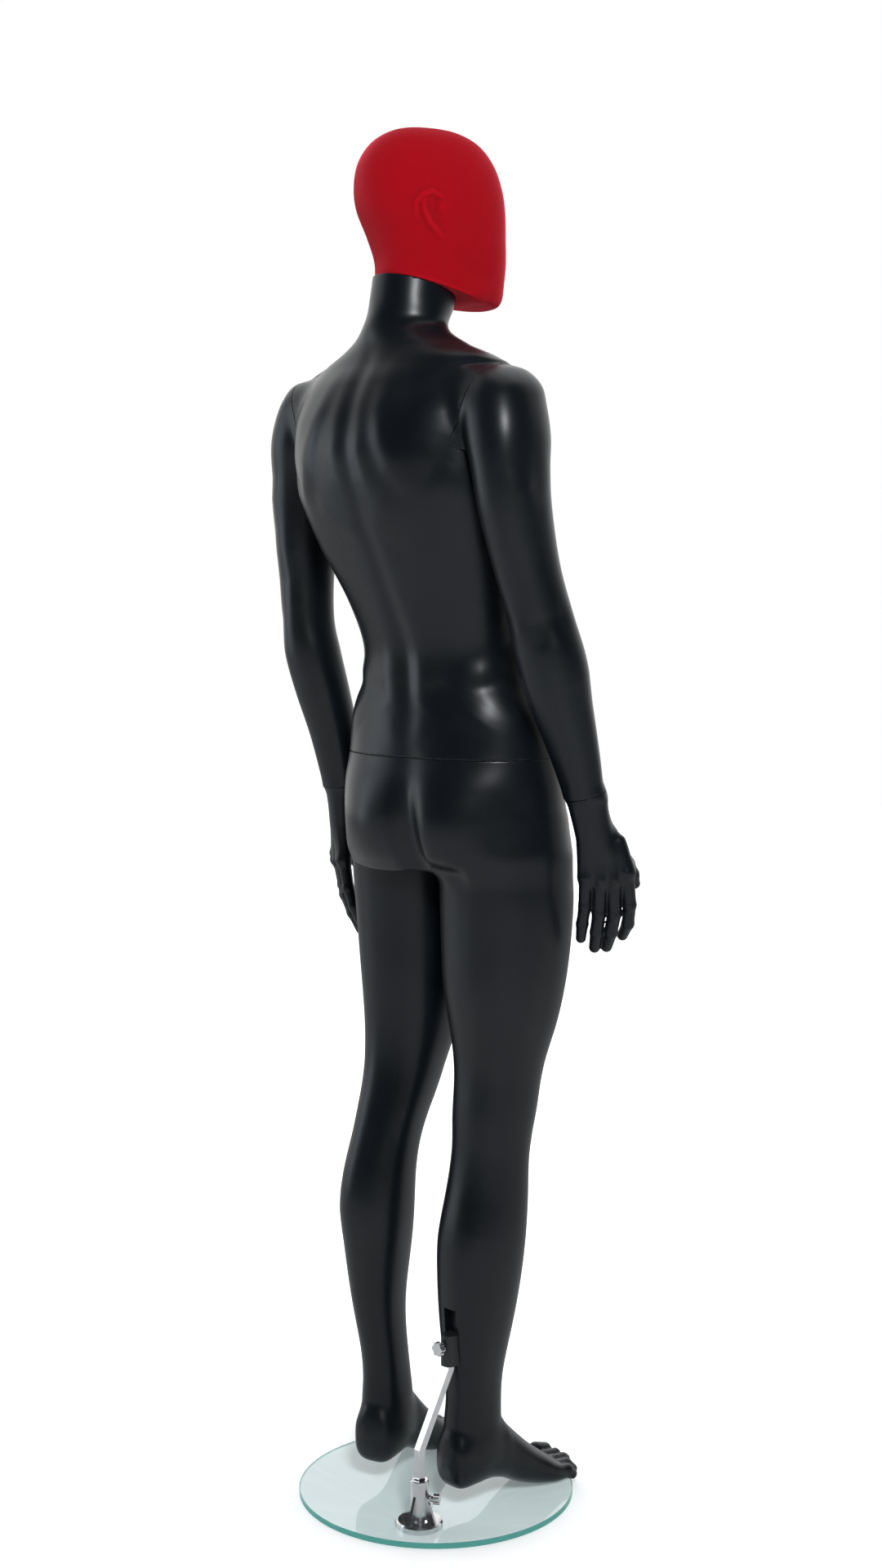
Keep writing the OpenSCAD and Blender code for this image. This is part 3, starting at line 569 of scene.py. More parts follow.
def leg_marks(path, side):
    """Calf, knee, shin, ankle and thigh of one leg, placed round its own sections."""
    inner = 1 if side == "right" else -1

    def at(angle, z):
        cx, cy, hw, back, front, t = section(path, z)
        a = math.radians(angle)
        c, s = math.sin(a) * inner, math.cos(a)
        depth = back if s > 0 else front
        k = (abs(c / hw) ** ROUNDNESS + abs(s / depth) ** ROUNDNESS) ** (-1 / ROUNDNESS)
        return placed(cx, cy, t, c * k, s * k, z)

    return [
        # two heads of the calf and the groove between them
        ([at(38, 430), at(36, 380), at(30, 330)], (0, 5, 0), (24, 26, 22)),
        ([at(-38, 440), at(-38, 395), at(-30, 350)], (0, 4.5, 0), (24, 26, 22)),
        ([at(0, 440), at(0, 390), at(0, 345)], (0, -3, 0), (11, 12, 11)),
        # heel cord
        ([at(0, 260), at(0, 200), at(0, 150), at(0, 120)], (0, 3, 4, 2), (11, 9, 9, 11)),
        ([at(50, 190), at(52, 150), at(56, 120)], (-1, -4, -3), (11, 12, 12)),
        ([at(-50, 190), at(-52, 150), at(-56, 120)], (-1, -4, -3), (11, 12, 12)),
        # ankle bones
        ([at(92, 122)], 4.5, 14), ([at(-88, 110)], 4.5, 13),
        # hollow of the knee with its two cords
        ([at(0, 560), at(0, 505), at(0, 470)], (0, -4, -2), (18, 20, 18)),
        ([at(46, 600), at(48, 540), at(50, 500)], (0, 4, 0), (11, 11, 10)),
        ([at(-46, 600), at(-48, 540), at(-50, 500)], (0, 4, 0), (11, 11, 10)),
        # kneecap, the hollows beside it and the shin edge
        ([at(180, 540), at(180, 515)], (6, 5), (22, 20)),
        ([at(150, 520), at(148, 490)], (-3, -3), (14, 12)),
        ([at(-150, 520), at(-148, 490)], (-3, -3), (14, 12)),
        ([at(180, 480), at(178, 400), at(176, 300), at(174, 220)], (3, 2.5, 2.5, 0), (12, 9, 9, 9)),
        # thigh
        ([at(118, 620), at(116, 590)], (6, 0), (26, 20)),
        ([at(-120, 660), at(-120, 620)], (5, 0), (28, 22)),
        ([at(-80, 820), at(-78, 700), at(-74, 600)], (0, -3, -2), (18, 18, 14)),
    ]


def head_marks():
    """Abstract ears, a raised arc with an inner stroke and a hollow, and the edge of the jaw."""
    arc = [(-66, 64, 1748), (-60, 76, 1754), (-53, 86, 1749), (-47, 91, 1739), (-46, 90, 1722)]
    stroke = [(-57, 82, 1749), (-54, 85, 1740), (-54, 83, 1730), (-58, 76, 1715), (-66, 60, 1697)]
    hollow = [(-63, 70, 1742), (-63, 70, 1730), (-66, 63, 1718)]
    jaw = [(-74, 44, 1690), (-80, 18, 1664), (-74, -20, 1650)]

    def mirror(q):
        cx, cy, _, _, _, t = section(HEAD, q[2])
        u = (q[0] - cx) * math.cos(t) + (q[1] - cy) * math.sin(t)
        v = -(q[0] - cx) * math.sin(t) + (q[1] - cy) * math.cos(t)
        return placed(cx, cy, t, -u, v, q[2])

    one_side = [
        (arc, (1.5, 4.2, 4.8, 4.4, 1.0), (3.2, 3.2, 3.4, 3.4, 4)),
        (stroke, (0.5, 3.0, 4.2, 4.6, 1.0), (3.2, 3.2, 3.4, 3.8, 4.4)),
        (hollow, (-2.0, -2.6, -1.4), (6, 6.5, 6)),
        (jaw, (0, -2.2, -1.2), (16, 15, 14)),
    ]
    other_side = [([mirror(q) for q in points], height, width) for points, height, width in one_side]
    return one_side + other_side


# ---------------------------------------------------------------- meshing
def trilinear(g, f, p):
    q = (p - g.low) / g.step
    i = np.clip(np.floor(q).astype(int), 0, np.array(f.shape) - 2)
    t = q - i
    out = 0
    for dx in (0, 1):
        for dy in (0, 1):
            for dz in (0, 1):
                w = ((t[:, 0] if dx else 1 - t[:, 0]) * (t[:, 1] if dy else 1 - t[:, 1])
                     * (t[:, 2] if dz else 1 - t[:, 2]))
                out = out + w * f[i[:, 0] + dx, i[:, 1] + dy, i[:, 2] + dz]
    return out


def surface(g, f):
    """Zero surface of a field as points and quads, drawn on to the true surface."""
    field = vdb.FloatGrid(50.0)
    field.copyFromArray(np.ascontiguousarray(f, dtype=np.float32))
    points, quads = field.convertToQuads(0.0)
    p = points.astype(float) * g.step + g.low
    e = 0.5 * g.step
    for _ in range(3):
        value = trilinear(g, f, p)
        grad = np.stack([trilinear(g, f, p + np.eye(3)[k] * e) - trilinear(g, f, p - np.eye(3)[k] * e)
                         for k in range(3)], 1) / (2 * e)
        size = np.maximum((grad ** 2).sum(1), 0.05)
        p -= np.clip(value / size, -g.step, g.step)[:, None] * grad
    return p, quads


def make_bmesh(points, quads):
    bm = bmesh.new()
    verts = [bm.verts.new(q) for q in points.tolist()]
    for q in quads.tolist():
        try:
            bm.faces.new([verts[k] for k in q])
        except ValueError:
            pass
    bmesh.ops.recalc_face_normals(bm, faces=bm.faces[:])
    for face in bm.faces:
        face.smooth = True
    return bm


def largest_island(bm):
    """Removes everything but the largest connected piece."""
    seen, best = set(), []
    for v in bm.verts:
        if v in seen:
            continue
        stack, group = [v], []
        seen.add(v)
        while stack:
            w = stack.pop()
            group.append(w)
            for e in w.link_edges:
                o = e.other_vert(w)
                if o not in seen:
                    seen.add(o)
                    stack.append(o)
        if len(group) > len(best):
            best = group
    keep = set(best)
    bmesh.ops.delete(bm, geom=[v for v in bm.verts if v not in keep], context="VERTS")


def cut(bm, c, axis, hole=0.0, depth=0.0, sides=48, pin=None, bend=None):
    """Cuts away what lies on the axis' side of a seam, chamfers the rim and closes the end.

    A round pocket for the hidden fitting is left in the end wall when hole is given, along the
    pin's direction. With bend the seam curves outwards below a level instead of staying flat.
    """
    n = Vector(axis).normalized()
    into = Vector(pin).normalized() if pin is not None else n
    face_at = Vector(c) - n * (SEAM_GAP / 2)

    def shift(sign):
        for v in bm.verts:
            under = max(SEAM_BEND_Z - v.co.z, 0)
            v.co.x += sign * min(SEAM_BEND * under * under, 400) * math.copysign(1, n.x)

    if bend:
        shift(-1)
    geom = bm.verts[:] + bm.edges[:] + bm.faces[:]
    old = set(e for e in bm.edges if e.is_boundary)
    bmesh.ops.bisect_plane(bm, geom=geom, dist=1e-5, plane_co=face_at - n * CHAMFER,
                           plane_no=n, clear_outer=True)
    rim = [e for e in bm.edges if e.is_boundary and e not in old]
    outward = {}
    for e in rim:
        m = e.link_faces[0].normal
        for v in e.verts:
            outward[v] = outward.get(v, Vector()) + m - n * m.dot(n)
    r = bmesh.ops.extrude_edge_only(bm, edges=rim)
    ring = set(x for x in r["geom"] if isinstance(x, bmesh.types.BMVert))
    for v in ring:
        src = [e.other_vert(v) for e in v.link_edges if e.other_vert(v) in outward]
        w = outward[src[0]].normalized()
        v.co += (n - w) * CHAMFER
    ends = [e for e in bm.edges if e.is_boundary and e.verts[0] in ring and e.verts[1] in ring]
    inner = []
    if hole:
        side = into.orthogonal().normalized()
        other = into.cross(side)
        loop = []
        for k in range(sides):
            a = 2 * math.pi * k / sides
            q = Vector(c) + (side * math.cos(a) + other * math.sin(a)) * hole
            q += into * ((face_at - q).dot(n) / into.dot(n))
            loop.append(bm.verts.new(q))
        inner = [bm.edges.new((loop[k], loop[(k + 1) % sides])) for k in range(sides)]
    filled = bmesh.ops.triangle_fill(bm, edges=ends + inner, use_beauty=True, normal=n)
    for x in filled["geom"]:
        if isinstance(x, bmesh.types.BMFace):
            x.smooth = False
    if hole:
        floor_at = Vector(c) - into * depth
        deep = [bm.verts.new(v.co + into * (floor_at - v.co).dot(into)) for v in loop]
        for k in range(sides):
            bm.faces.new((loop[k], loop[(k + 1) % sides], deep[(k + 1) % sides], deep[k]))
        bm.faces.new(deep[::-1])
    if bend:
        shift(1)


def mesh_from(name, bm):
    mesh = bpy.data.meshes.new(name)
    bm.to_mesh(mesh)
    bm.free()
    return mesh


def linked(name, data):
    """New object of the scene."""
    ob = bpy.data.objects.new(name, data)
    bpy.context.scene.collection.objects.link(ob)
    return ob


def add_piece(name, bm, body, nodes, material):
    """Turns a bmesh in millimetres into a piece that rides on its body."""
    bmesh.ops.recalc_face_normals(bm, faces=bm.faces[:])
    mesh = mesh_from(name, bm)
    mesh.transform(Matrix.Scale(MM, 4))
    mesh.update()
    ob = linked(name, mesh)
    mesh.materials.append(material)
    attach(ob, body)
    if nodes:
        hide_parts(*nodes)
    return ob


# ---------------------------------------------------------------- the shells
def front_marks():
    """Chest, collar bones and belly, plain and shallow."""
    marks = []
    for s in (1, -1):
        marks += [
            ([front_point(s * 62, 1410), front_point(s * 84, 1400)], (9, 8), (56, 54)),
            ([front_point(s * 22, 1352), front_point(s * 60, 1338), front_point(s * 104, 1348),
              front_point(s * 132, 1376)], (-3, -5, -5, 0), (11, 11, 12, 14)),
            ([front_point(s * 22, 1505), front_point(s * 70, 1512), front_point(s * 112, 1518)],
             (4, 4, 1), (11, 10, 11)),
            ([front_point(s * 34, z) for z in (1290, 1230, 1160, 1090)], (2, 4, 4, 0), 24),
            ([front_point(s * 70, z) for z in (1300, 1220, 1140, 1070)], (-1, -4, -4, -2), 14),
            ([front_point(s * 104, 1090), front_point(s * 84, 1060), front_point(s * 58, 1034)],
             (-1, -5, -3), 13),
        ]
    marks.append(([front_point(0, z) for z in (1490, 1420, 1360, 1280, 1180, 1110)],
                  (-2, -5, -4, -3, -3, -1), (12, 13, 12, 9, 9, 9)))
    marks.append(([front_point(0, 1138)], -6, 8))
    return marks


def mesh_of(g, f):
    bm = make_bmesh(*surface(g, f))
    largest_island(bm)
    return bm


def beyond_seam(g, side):
    """Distance beyond the shoulder seam, which bends outwards under the arm."""
    axis = seam_axis(SHOULDER_SEAM[side])
    under = np.maximum(SEAM_BEND_Z - g.z, 0)
    return half_space(g, SHOULDER[side], axis) - SEAM_BEND * under ** 2 * abs(axis[0])


def softness(g):
    """How softly the trunk runs in to the arms at each level."""
    return 2 + 34 * np.clip((g.z - 1405) / 110, 0, 1)


def trunk_marks():
    return back_marks() + front_marks()


def torso_shell(material):
    g = Grid((-230, -130, 1010), (235, 186, 1672), 2.6)
    f = loft(g, PELVIS[3:] + TRUNK, trunk_roundness(g), cap=0.5)
    arms = {side: loft(g, ARMS[side]) for side in ("right", "left")}
    whole = np.minimum(f, np.minimum(arms["right"], arms["left"]))
    rise = relief(g, whole, trunk_marks(), BACK_DEPTH, BACK_SPREAD)
    rise += relief(g, whole, arm_marks("right") + arm_marks("left"), ARM_DEPTH, ARM_SPREAD)
    rise += relief(g, whole, hip_marks())
    fade = np.maximum(ARMPIT_Z - g.z, 0) * 1.6
    for side in arms:
        f = smin(f, arms[side] + fade, softness(g))
    f = f - rise
    for side in arms:
        above = np.maximum(g.z - ARMPIT_Z, 0) * 8
        f = smax(f, ARM_GAP - (arms[side] - rise) - above, 1.5)
    bm = mesh_of(g, f)
    for side in arms:
        cut(bm, SHOULDER[side], seam_axis(SHOULDER_SEAM[side]), SHOULDER_POCKET, 32,
            pin=seam_axis(SHOULDER_TURN[side]), bend=True)
    cut(bm, WAIST, (0, 0, -1), WAIST_POCKET, 9)
    cut(bm, NECK, seam_axis(NECK_TURN), NECK_POCKET, 32)
    add_piece("torso_shell", bm, "torso", ["torso"], material)


def arm_shell(side, material):
    path = ARMS[side]
    xs = [q[0] for q in path]
    ys = [q[1] for q in path]
    g = Grid((min(xs) - 62, min(ys) - 46, 960), (max(xs) + 74, max(ys) + 70, 1550), 2.2)
    trunk = loft(g, TRUNK, trunk_roundness(g))
    arm = loft(g, path)
    whole = np.minimum(trunk, arm)
    rise = relief(g, whole, trunk_marks(), BACK_DEPTH, BACK_SPREAD)
    rise += relief(g, whole, arm_marks(side), ARM_DEPTH, ARM_SPREAD)
    # above the armpit the flat cut below makes the seam, so the soft edge stays behind it
    over = np.clip((g.z - 1428) / 8, 0, 1) * 6
    edge = smax(smin(trunk, arm, softness(g)) - rise,
                SEAM_GAP / 2 - beyond_seam(g, side) - over, 1.2)
    f = np.minimum(edge, smin(arm, hand(g, side), 7) - rise)
    bm = mesh_of(g, f)
    cut(bm, SHOULDER[side], -seam_axis(SHOULDER_SEAM[side]), SHOULDER_POCKET, 18,
        pin=-seam_axis(SHOULDER_TURN[side]))
    cut(bm, WRIST[side], -seam_axis(WRIST_TURN[side]), WRIST_POCKET, 28)
    add_piece(side + "_arm_shell", bm, side + "_arm", [side + "_arm"], material)


def hand_shell(side, material):
    c = WRIST[side]
    g = Grid((c[0] - 84, c[1] - 84, c[2] - 226), (c[0] + 84, c[1] + 60, c[2] + 16), 1.6)
    run_out = 0.6 * np.maximum(c[2] - 5 - g.z, 0)
    f = smin(loft(g, ARMS[side]) + run_out, hand(g, side), 7)
    f = f - relief(g, f, nail_marks(side)) - relief(g, f, arm_marks(side), ARM_DEPTH, ARM_SPREAD)
    bm = mesh_of(g, f)
    cut(bm, c, seam_axis(WRIST_TURN[side]), PEG_HOLE, 30, sides=24)
    add_piece(side + "_hand_shell", bm, side + "_hand", [side + "_hand"], material)


def carve(ob, *tools):
    """Takes closed tool shapes out of a piece."""
    for tool in tools:
        mod = ob.modifiers.new("carve", "BOOLEAN")
        mod.operation = "DIFFERENCE"
        mod.solver = "EXACT"
        mod.object = tool
    graph = bpy.context.evaluated_depsgraph_get()
    mesh = bpy.data.meshes.new_from_object(ob.evaluated_get(graph))
    old = ob.data
    ob.modifiers.clear()
    ob.data = mesh
    bpy.data.meshes.remove(old)
    for tool in tools:
        data = tool.data
        bpy.data.objects.remove(tool)
        bpy.data.meshes.remove(data)


def prism(outline, low, high):
    """Closed upright prism over an outline in millimetres, for carve()."""
    bm = bmesh.new()
    bottom = [bm.verts.new((x * MM, y * MM, low * MM)) for x, y in outline]
    top = [bm.verts.new((x * MM, y * MM, high * MM)) for x, y in outline]
    bm.faces.new(bottom[::-1])
    bm.faces.new(top)
    n = len(outline)
    for k in range(n):
        bm.faces.new((bottom[k], bottom[(k + 1) % n], top[(k + 1) % n], top[k]))
    return linked("tool", mesh_from("tool", bm))


def rod_point(x, y):
    """Plan position from the rod's own frame."""
    return placed(*ROD, math.radians(ROD_TURN), x, y, 0)[:2]


def hip_leg_shell(material):
    g = Grid((-200, -150, 6), (170, 112, 1040), 2.6)
    leg = loft(g, RIGHT_LEG, cap=10)
    # the hips end flat over the left leg's seam and run softly in to the right thigh
    right = np.clip((8 - g.x) / 90, 0, 1)
    hips = smax(loft(g, PELVIS + TRUNK[:2]), THIGH[2] + SEAM_GAP / 2 - g.z, 1.5 + 38 * right)
    f = smin(hips, leg, 16 + 12 * right)
    f = smin(f, foot(g, "right"), 10)
    rise = relief(g, f, hip_marks()) + relief(g, f, back_marks(), BACK_DEPTH, BACK_SPREAD)
    f = f - rise - relief(g, f, leg_marks(RIGHT_LEG, "right"), LEG_DEPTH["right"], LEG_SPREAD)
    bm = mesh_of(g, f)
    cut(bm, WAIST, (0, 0, 1), WAIST_POCKET, 50)
    ob = add_piece("hip_leg_shell", bm, "figure", ["hip_and_right_leg"], material)
    near, far = -CALF_REACH - 12, -CALF_REACH + 48
    slot = [rod_point(x, y) for x, y in ((-FITTING_HALF, near), (FITTING_HALF, near),
                                         (FITTING_HALF, far), (-FITTING_HALF, far))]
    ring = [(THIGH[0] + THIGH_RING * math.cos(a), THIGH[1] + THIGH_RING * math.sin(a))
            for a in np.arange(48) * math.pi / 24]
    carve(ob, prism(slot, FITTING_LOW - 0.5, FITTING_TOP),
          prism(ring, THIGH[2] - 9, THIGH[2] + 36))


def left_leg_shell(material):
    g = Grid((-20, -190, 6), (170, 122, 890), 2.8)
    f = smin(loft(g, LEFT_LEG, cap=6), foot(g, "left"), 10)
    f = f - relief(g, f, leg_marks(LEFT_LEG, "left"), LEG_DEPTH["left"], LEG_SPREAD)
    bm = mesh_of(g, f)
    cut(bm, THIGH, (0, 0, 1), THIGH_POCKET, 9)
    add_piece("left_leg_shell", bm, "left_leg", ["left_leg"], material)


def head_shell(material):
    g = Grid((-110, -112, 1596), (100, 140, 1850), 1.8)
    f = loft(g, HEAD, cap=9)
    f = f - relief(g, f, head_marks())
    up = seam_axis(NECK_TURN)
    x, y, z = g.x - NECK[0], g.y - NECK[1], g.z - NECK[2]
    above = x * up[0] + y * up[1] + z * up[2]
    turn = math.radians(NECK_TURN[2])
    ahead = x * math.sin(turn) - y * math.cos(turn)
    # the jaw begins in front of the neck and hangs below its seam
    jaw = np.clip((ahead - 40) / 40, 0, 1)
    f = smax(f, SEAM_GAP / 2 - above - JAW_DROP * jaw, 1.0 + 34 * jaw)
    aside = np.sqrt(np.maximum(x * x + y * y + z * z - above ** 2, 0))
    f = np.maximum(f, np.minimum(NECK_POCKET - aside, 14 - above))
    bm = mesh_of(g, f)
    add_piece("head_shell", bm, "head", ["head"], material)


# ---------------------------------------------------------------- materials
# Darkest and lightest base colour of each finish
SATIN = ((0.0040, 0.0060, 0.0086), (0.0058, 0.0082, 0.0114))
# Flock red: the darker colour is painted shade in hollows, the lighter is painted light on ridges
FLOCK_RED_PAINTED_SHADE_TO_LIGHT = ((0.30, 0.0026, 0.0068), (0.64, 0.0060, 0.0145))
CHROME = ((0.62, 0.63, 0.64), (0.72, 0.72, 0.73))
ZINC = ((0.46, 0.47, 0.49), (0.60, 0.61, 0.63))
MOULDED = ((0.012, 0.012, 0.014), (0.020, 0.020, 0.023))
CLEAR = ((0.86, 0.955, 0.945), (0.05, 0.42, 0.35))
PALE = ((0.88, 0.88, 0.88), (0.91, 0.91, 0.91))
# Noise values that most of a noise texture lies between
NOISE_RANGE = (0.3, 0.7)
# Radii in metres between which the glass goes over in to its polished edge
GLASS_EDGE = (0.1885, 0.1893)


def material(name):
    m = bpy.data.materials.new(name)
    m.use_nodes = True
    nodes = m.node_tree.nodes
    links = m.node_tree.links
    return m, nodes, links, nodes["Principled BSDF"]


def noise(nodes, links, scale, detail=3.0, rough=0.5):
    coord = nodes.new("ShaderNodeTexCoord")
    n = nodes.new("ShaderNodeTexNoise")
    n.inputs["Scale"].default_value = scale
    n.inputs["Detail"].default_value = detail
    n.inputs["Roughness"].default_value = rough
    links.new(coord.outputs["Object"], n.inputs["Vector"])
    return n


def ramp(nodes, links, source, low, high, a, b):
    """Maps a value's range on to a range between a and b."""
    m = nodes.new("ShaderNodeMapRange")
    m.inputs["From Min"].default_value = low
    m.inputs["From Max"].default_value = high
    m.inputs["To Min"].default_value = a
    m.inputs["To Max"].default_value = b
    links.new(source, m.inputs["Value"])
    return m.outputs["Result"]


def tint(nodes, links, shader, factor, colours):
    """Base colour between two colours."""
    m = nodes.new("ShaderNodeMix")
    m.data_type = "RGBA"
    for key, colour in zip(("A", "B"), colours):
        m.inputs[key].default_value = (*colour, 1)
    links.new(factor, m.inputs["Factor"])
    links.new(m.outputs["Result"], shader.inputs["Base Color"])


def uneven(nodes, links, shader, source, low, high, within=NOISE_RANGE):
    """Roughness that goes from low to high with a noise."""
    links.new(ramp(nodes, links, source, *within, low, high), shader.inputs["Roughness"])


def preset(shader, **values):
    """Sets inputs of a shader, with _ for each space in their names."""
    for key, value in values.items():
        shader.inputs[key.replace("_", " ")].default_value = value


def bump(nodes, links, height, strength, distance, shader, normal=None):
    b = nodes.new("ShaderNodeBump")
    b.inputs["Strength"].default_value = strength
    b.inputs["Distance"].default_value = distance
    links.new(height, b.inputs["Height"])
    if normal is not None:
        links.new(normal, b.inputs["Normal"])
    links.new(b.outputs["Normal"], shader.inputs["Normal"])
    return b.outputs["Normal"]


def satin_black():
    """Sprayed satin paint on glass fibre: faint orange peel and uneven gloss."""
    m, nodes, links, shader = material("satin_black_paint")
    cloud = noise(nodes, links, 9.0, 4.0, 0.55)
    peel = noise(nodes, links, 420.0, 2.0, 0.5)
    dust = noise(nodes, links, 1500.0, 1.0, 0.4)
    tint(nodes, links, shader, ramp(nodes, links, cloud.outputs["Fac"], 0.35, 0.65, 0, 1), SATIN)
    uneven(nodes, links, shader, cloud.outputs["Fac"], 0.31, 0.38)
    preset(shader, Specular_IOR_Level=0.34, IOR=1.5)
    n = bump(nodes, links, peel.outputs["Fac"], 0.10, 0.0004, shader)
    bump(nodes, links, dust.outputs["Fac"], 0.05, 0.0002, shader, n)
    return m


def red_flock():
    """Short red fibres: matt, with painted shade in hollows and painted light on ridges, and a red
    sheen where seen edge on.
    """
    m, nodes, links, shader = material("red_flocking")
    pile = noise(nodes, links, 2600.0, 2.0, 0.6)
    shape = nodes.new("ShaderNodeNewGeometry")
    # Painted shade and light: the base colour goes from dark red in hollows to light red on ridges,
    # by the surface's pointiness
    tint(nodes, links, shader, ramp(nodes, links, shape.outputs["Pointiness"], 0.47, 0.54, 0, 1), FLOCK_RED_PAINTED_SHADE_TO_LIGHT)
    preset(shader, Roughness=0.95, Specular_IOR_Level=0.08, Sheen_Weight=0.8,
           Sheen_Roughness=0.42, Sheen_Tint=(1.0, 0.12, 0.17, 1))
    bump(nodes, links, pile.outputs["Fac"], 0.35, 0.0005, shader)
    return m


def metal(name, scale, detail, colours, low, high):
    """Bare metal whose tone and roughness vary with one noise."""
    m, nodes, links, shader = material(name)
    smear = noise(nodes, links, scale, detail, 0.6).outputs["Fac"]
    tint(nodes, links, shader, ramp(nodes, links, smear, *NOISE_RANGE, 0, 1), colours)
    preset(shader, Metallic=1.0)
    uneven(nodes, links, shader, smear, low, high)
    return m


def black_plastic():
    m, nodes, links, shader = material("moulded_black")
    grain = noise(nodes, links, 700.0, 3.0, 0.5)
    tint(nodes, links, shader, grain.outputs["Fac"], MOULDED)
    uneven(nodes, links, shader, grain.outputs["Fac"], 0.42, 0.55)
    bump(nodes, links, grain.outputs["Fac"], 0.2, 0.0003, shader)
    return m


def glass():
    """Tempered glass: almost clear through its faces, deep green at the polished edge."""
    m, nodes, links, shader = material("tempered_glass")
    coord = nodes.new("ShaderNodeTexCoord")
    split = nodes.new("ShaderNodeSeparateXYZ")
    links.new(coord.outputs["Object"], split.inputs["Vector"])
    flat = nodes.new("ShaderNodeCombineXYZ")
    links.new(split.outputs["X"], flat.inputs["X"])
    links.new(split.outputs["Y"], flat.inputs["Y"])
    radius = nodes.new("ShaderNodeVectorMath")
    radius.operation = "LENGTH"
    links.new(flat.outputs["Vector"], radius.inputs[0])
    rim = ramp(nodes, links, radius.outputs["Value"], *GLASS_EDGE, 0, 1)
    tint(nodes, links, shader, rim, CLEAR)
    smear = noise(nodes, links, 18.0, 5.0, 0.6)
    uneven(nodes, links, shader, smear.outputs["Fac"], 0.015, 0.06, (0.35, 0.75))
    links.new(ramp(nodes, links, rim, 0, 1, 1.0, 0.4), shader.inputs["Transmission Weight"])
    preset(shader, IOR=1.5)
    return m


def dress_cad(finishes):
    """Gives every CAD node that stays shown the finish of its record slot."""
    slots = {p["node"]: p["material_slot"] for p in frame["record"]["subparts"]}
    for name, ob in NODES.items():
        finish = finishes.get(slots.get(name))
        if finish is None:
            continue
        if ob.material_slots:
            for one in ob.material_slots:
                one.material = finish
        else:
            ob.data.materials.append(finish)


# ---------------------------------------------------------------- studio
CAMERA_AT = (-1.9194, 2.2080, 1.2754)
CAMERA_AZIMUTH = 221.0
CAMERA_DOWN = 5.632
CAMERA_YAW = 0.138
# Strength of the room behind the camera and of the sweep it looks at
ROOM = 0.035
SWEEP = 1.3
FLOOR_RADIUS = 9
# Name, place, target, size, watts, colour and, for an oblong light, its other size
LIGHTS = [
    ("key", (-2.3, 2.0, 2.9), (-0.1, 0.0, 1.25), 0.7, 72, (0.93, 0.96, 1.0)),
    ("top", (0.0, -0.4, 3.4), (0.0, 0.0, 1.0), 1.6, 7),
    ("side", (2.75, 1.75, 1.4), (0.1, 0.0, 1.2), 1.0, 17, (0.82, 0.91, 1.0), 2.2),
]


def camera():
    a = math.radians(CAMERA_AZIMUTH)
    forward = Vector((-math.sin(a), math.cos(a), 0))
    right = forward.cross(Vector((0, 0, 1)))
    y = math.radians(CAMERA_YAW)
    forward = forward * math.cos(y) + right * math.sin(y)
    right = forward.cross(Vector((0, 0, 1)))
    t = math.radians(CAMERA_DOWN)
    look = forward * math.cos(t) - Vector((0, 0, 1)) * math.sin(t)
    up = right.cross(look)
    cam = bpy.data.cameras.new("camera")
    cam.lens = 50
    cam.sensor_width = 36
    cam.sensor_fit = "AUTO"
    cam.clip_start = 0.05
    ob = linked("camera", cam)
    m = Matrix((right, up, -look)).transposed().to_4x4()
    m.translation = Vector(CAMERA_AT)
    ob.matrix_world = m
    bpy.context.scene.camera = ob


def area(name, at, target, size, power, colour=(1, 1, 1), size_y=None):
    light = bpy.data.lights.new(name, "AREA")
    light.energy = power
    light.color = colour
    light.size = size
    if size_y:
        light.shape = "RECTANGLE"
        light.size_y = size_y
    ob = linked(name, light)
    ob.location = at
    ob.rotation_euler = (Vector(target) - Vector(at)).to_track_quat("-Z", "Y").to_euler()


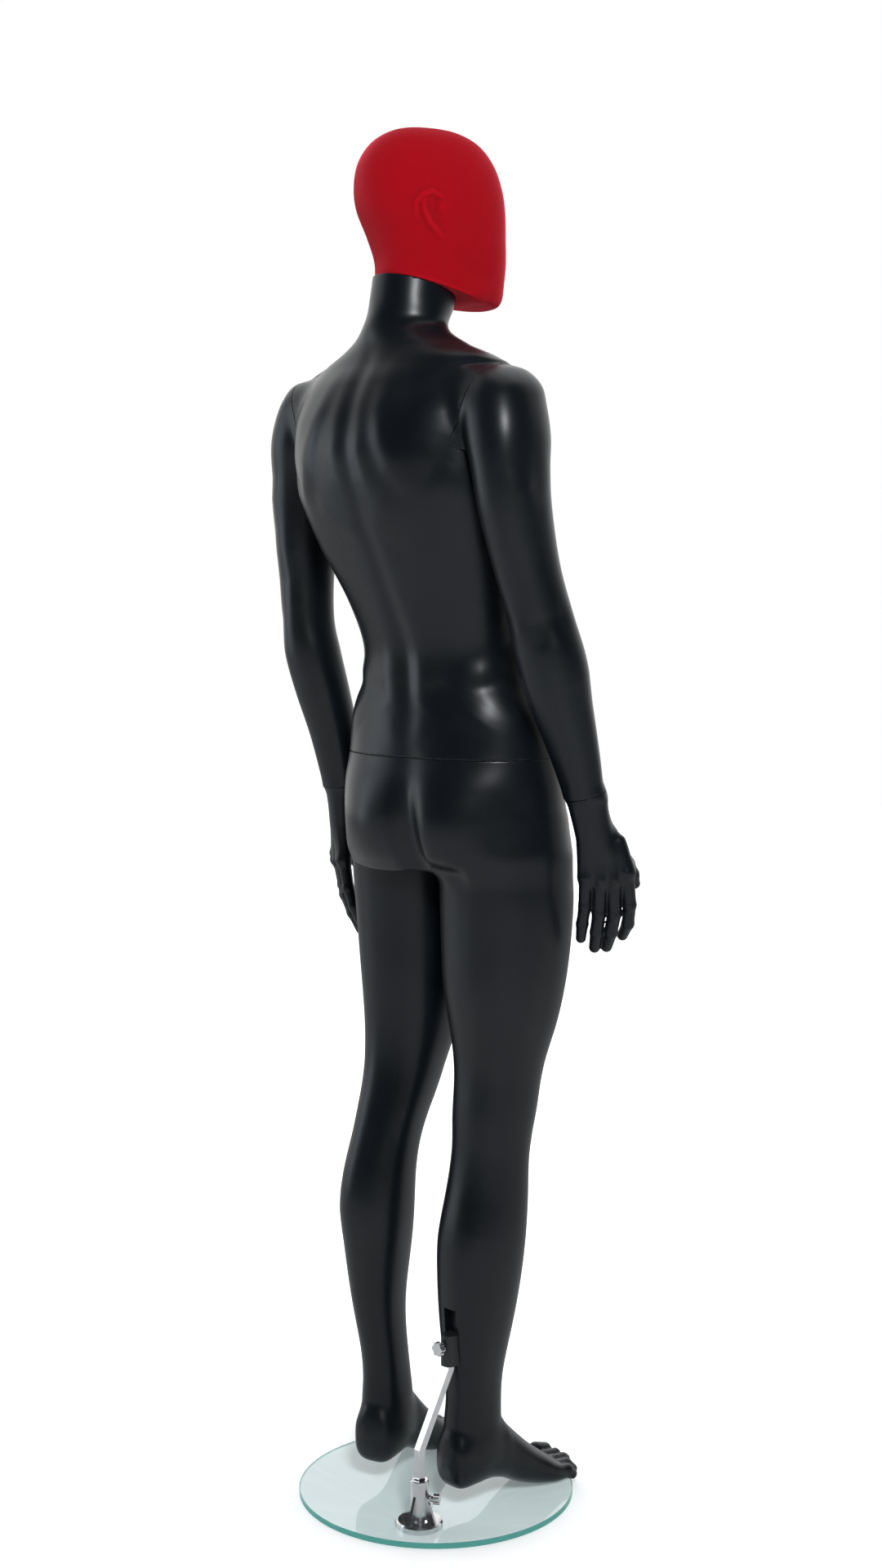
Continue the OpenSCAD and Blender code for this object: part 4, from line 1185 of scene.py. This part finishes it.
def world():
    """White studio sweep that the camera sees, with a dimmer room on the camera's side."""
    w = bpy.data.worlds.new("studio")
    bpy.context.scene.world = w
    w.use_nodes = True
    nodes, links = w.node_tree.nodes, w.node_tree.links
    back = nodes["Background"]
    coord = nodes.new("ShaderNodeTexCoord")
    dot = nodes.new("ShaderNodeVectorMath")
    dot.operation = "DOT_PRODUCT"
    a = math.radians(CAMERA_AZIMUTH)
    dot.inputs[1].default_value = (-math.sin(a), math.cos(a), 0.0)
    links.new(coord.outputs["Generated"], dot.inputs[0])
    lit = nodes.new("ShaderNodeMapRange")
    lit.interpolation_type = "SMOOTHSTEP"
    for key, value in (("From Min", -0.1), ("From Max", 0.8), ("To Min", ROOM), ("To Max", SWEEP)):
        lit.inputs[key].default_value = value
    links.new(dot.outputs["Value"], lit.inputs["Value"])
    path = nodes.new("ShaderNodeLightPath")
    pick = nodes.new("ShaderNodeMix")
    links.new(path.outputs["Is Camera Ray"], pick.inputs["Factor"])
    links.new(lit.outputs["Result"], pick.inputs["A"])
    pick.inputs["B"].default_value = 1.0
    links.new(pick.outputs["Result"], back.inputs["Strength"])
    back.inputs["Color"].default_value = (1, 1, 1, 1)


def floor():
    """Pale floor with painted light: a glow seen only by the camera, rising outwards in to the white
    sweep.
    """
    bm = bmesh.new()
    sides = 96
    rim = [bm.verts.new((FLOOR_RADIUS * math.cos(2 * math.pi * k / sides),
                         FLOOR_RADIUS * math.sin(2 * math.pi * k / sides), 0))
           for k in range(sides)]
    bm.faces.new(rim)
    mesh = mesh_from("floor", bm)
    ob = linked("floor", mesh)
    m, nodes, links, shader = material("pale_floor")
    soft = noise(nodes, links, 3.0)
    tint(nodes, links, shader, soft.outputs["Fac"], PALE)
    preset(shader, Roughness=0.9, Specular_IOR_Level=0.1, Emission_Color=(1, 1, 1, 1))
    coord = nodes.new("ShaderNodeTexCoord")
    far = nodes.new("ShaderNodeVectorMath")
    far.operation = "LENGTH"
    links.new(coord.outputs["Object"], far.inputs[0])
    path = nodes.new("ShaderNodeLightPath")
    seen = nodes.new("ShaderNodeMath")
    seen.operation = "MULTIPLY"
    # Painted light: camera rays see the floor glow at 0.2 near the base and fully from 0.45 m out
    links.new(ramp(nodes, links, far.outputs["Value"], 0.12, 0.45, 0.2, 1.0), seen.inputs[0])
    links.new(path.outputs["Is Camera Ray"], seen.inputs[1])
    links.new(seen.outputs["Value"], shader.inputs["Emission Strength"])
    mesh.materials.append(m)


# ---------------------------------------------------------------- assembly
PAINT = satin_black()
FLOCK = red_flock()
FINISHES = {
    "black_satin": PAINT, "red_flock": FLOCK,
    "chrome": metal("polished_chrome", 60.0, 4.0, CHROME, 0.15, 0.23),
    "clear_glass": glass(), "black_fitting": black_plastic(),
    "zinc_steel": metal("zinc_plate", 240.0, 3.0, ZINC, 0.28, 0.44),
}

torso_shell(PAINT)
hip_leg_shell(PAINT)
left_leg_shell(PAINT)
for SIDE in ("right", "left"):
    arm_shell(SIDE, PAINT)
    hand_shell(SIDE, PAINT)
head_shell(FLOCK)
dress_cad(FINISHES)

camera()
world()
floor()
for LIGHT in LIGHTS:
    area(*LIGHT)
NODES["glass_base"].visible_shadow = False
bpy.context.scene.view_settings.view_transform = "Standard"
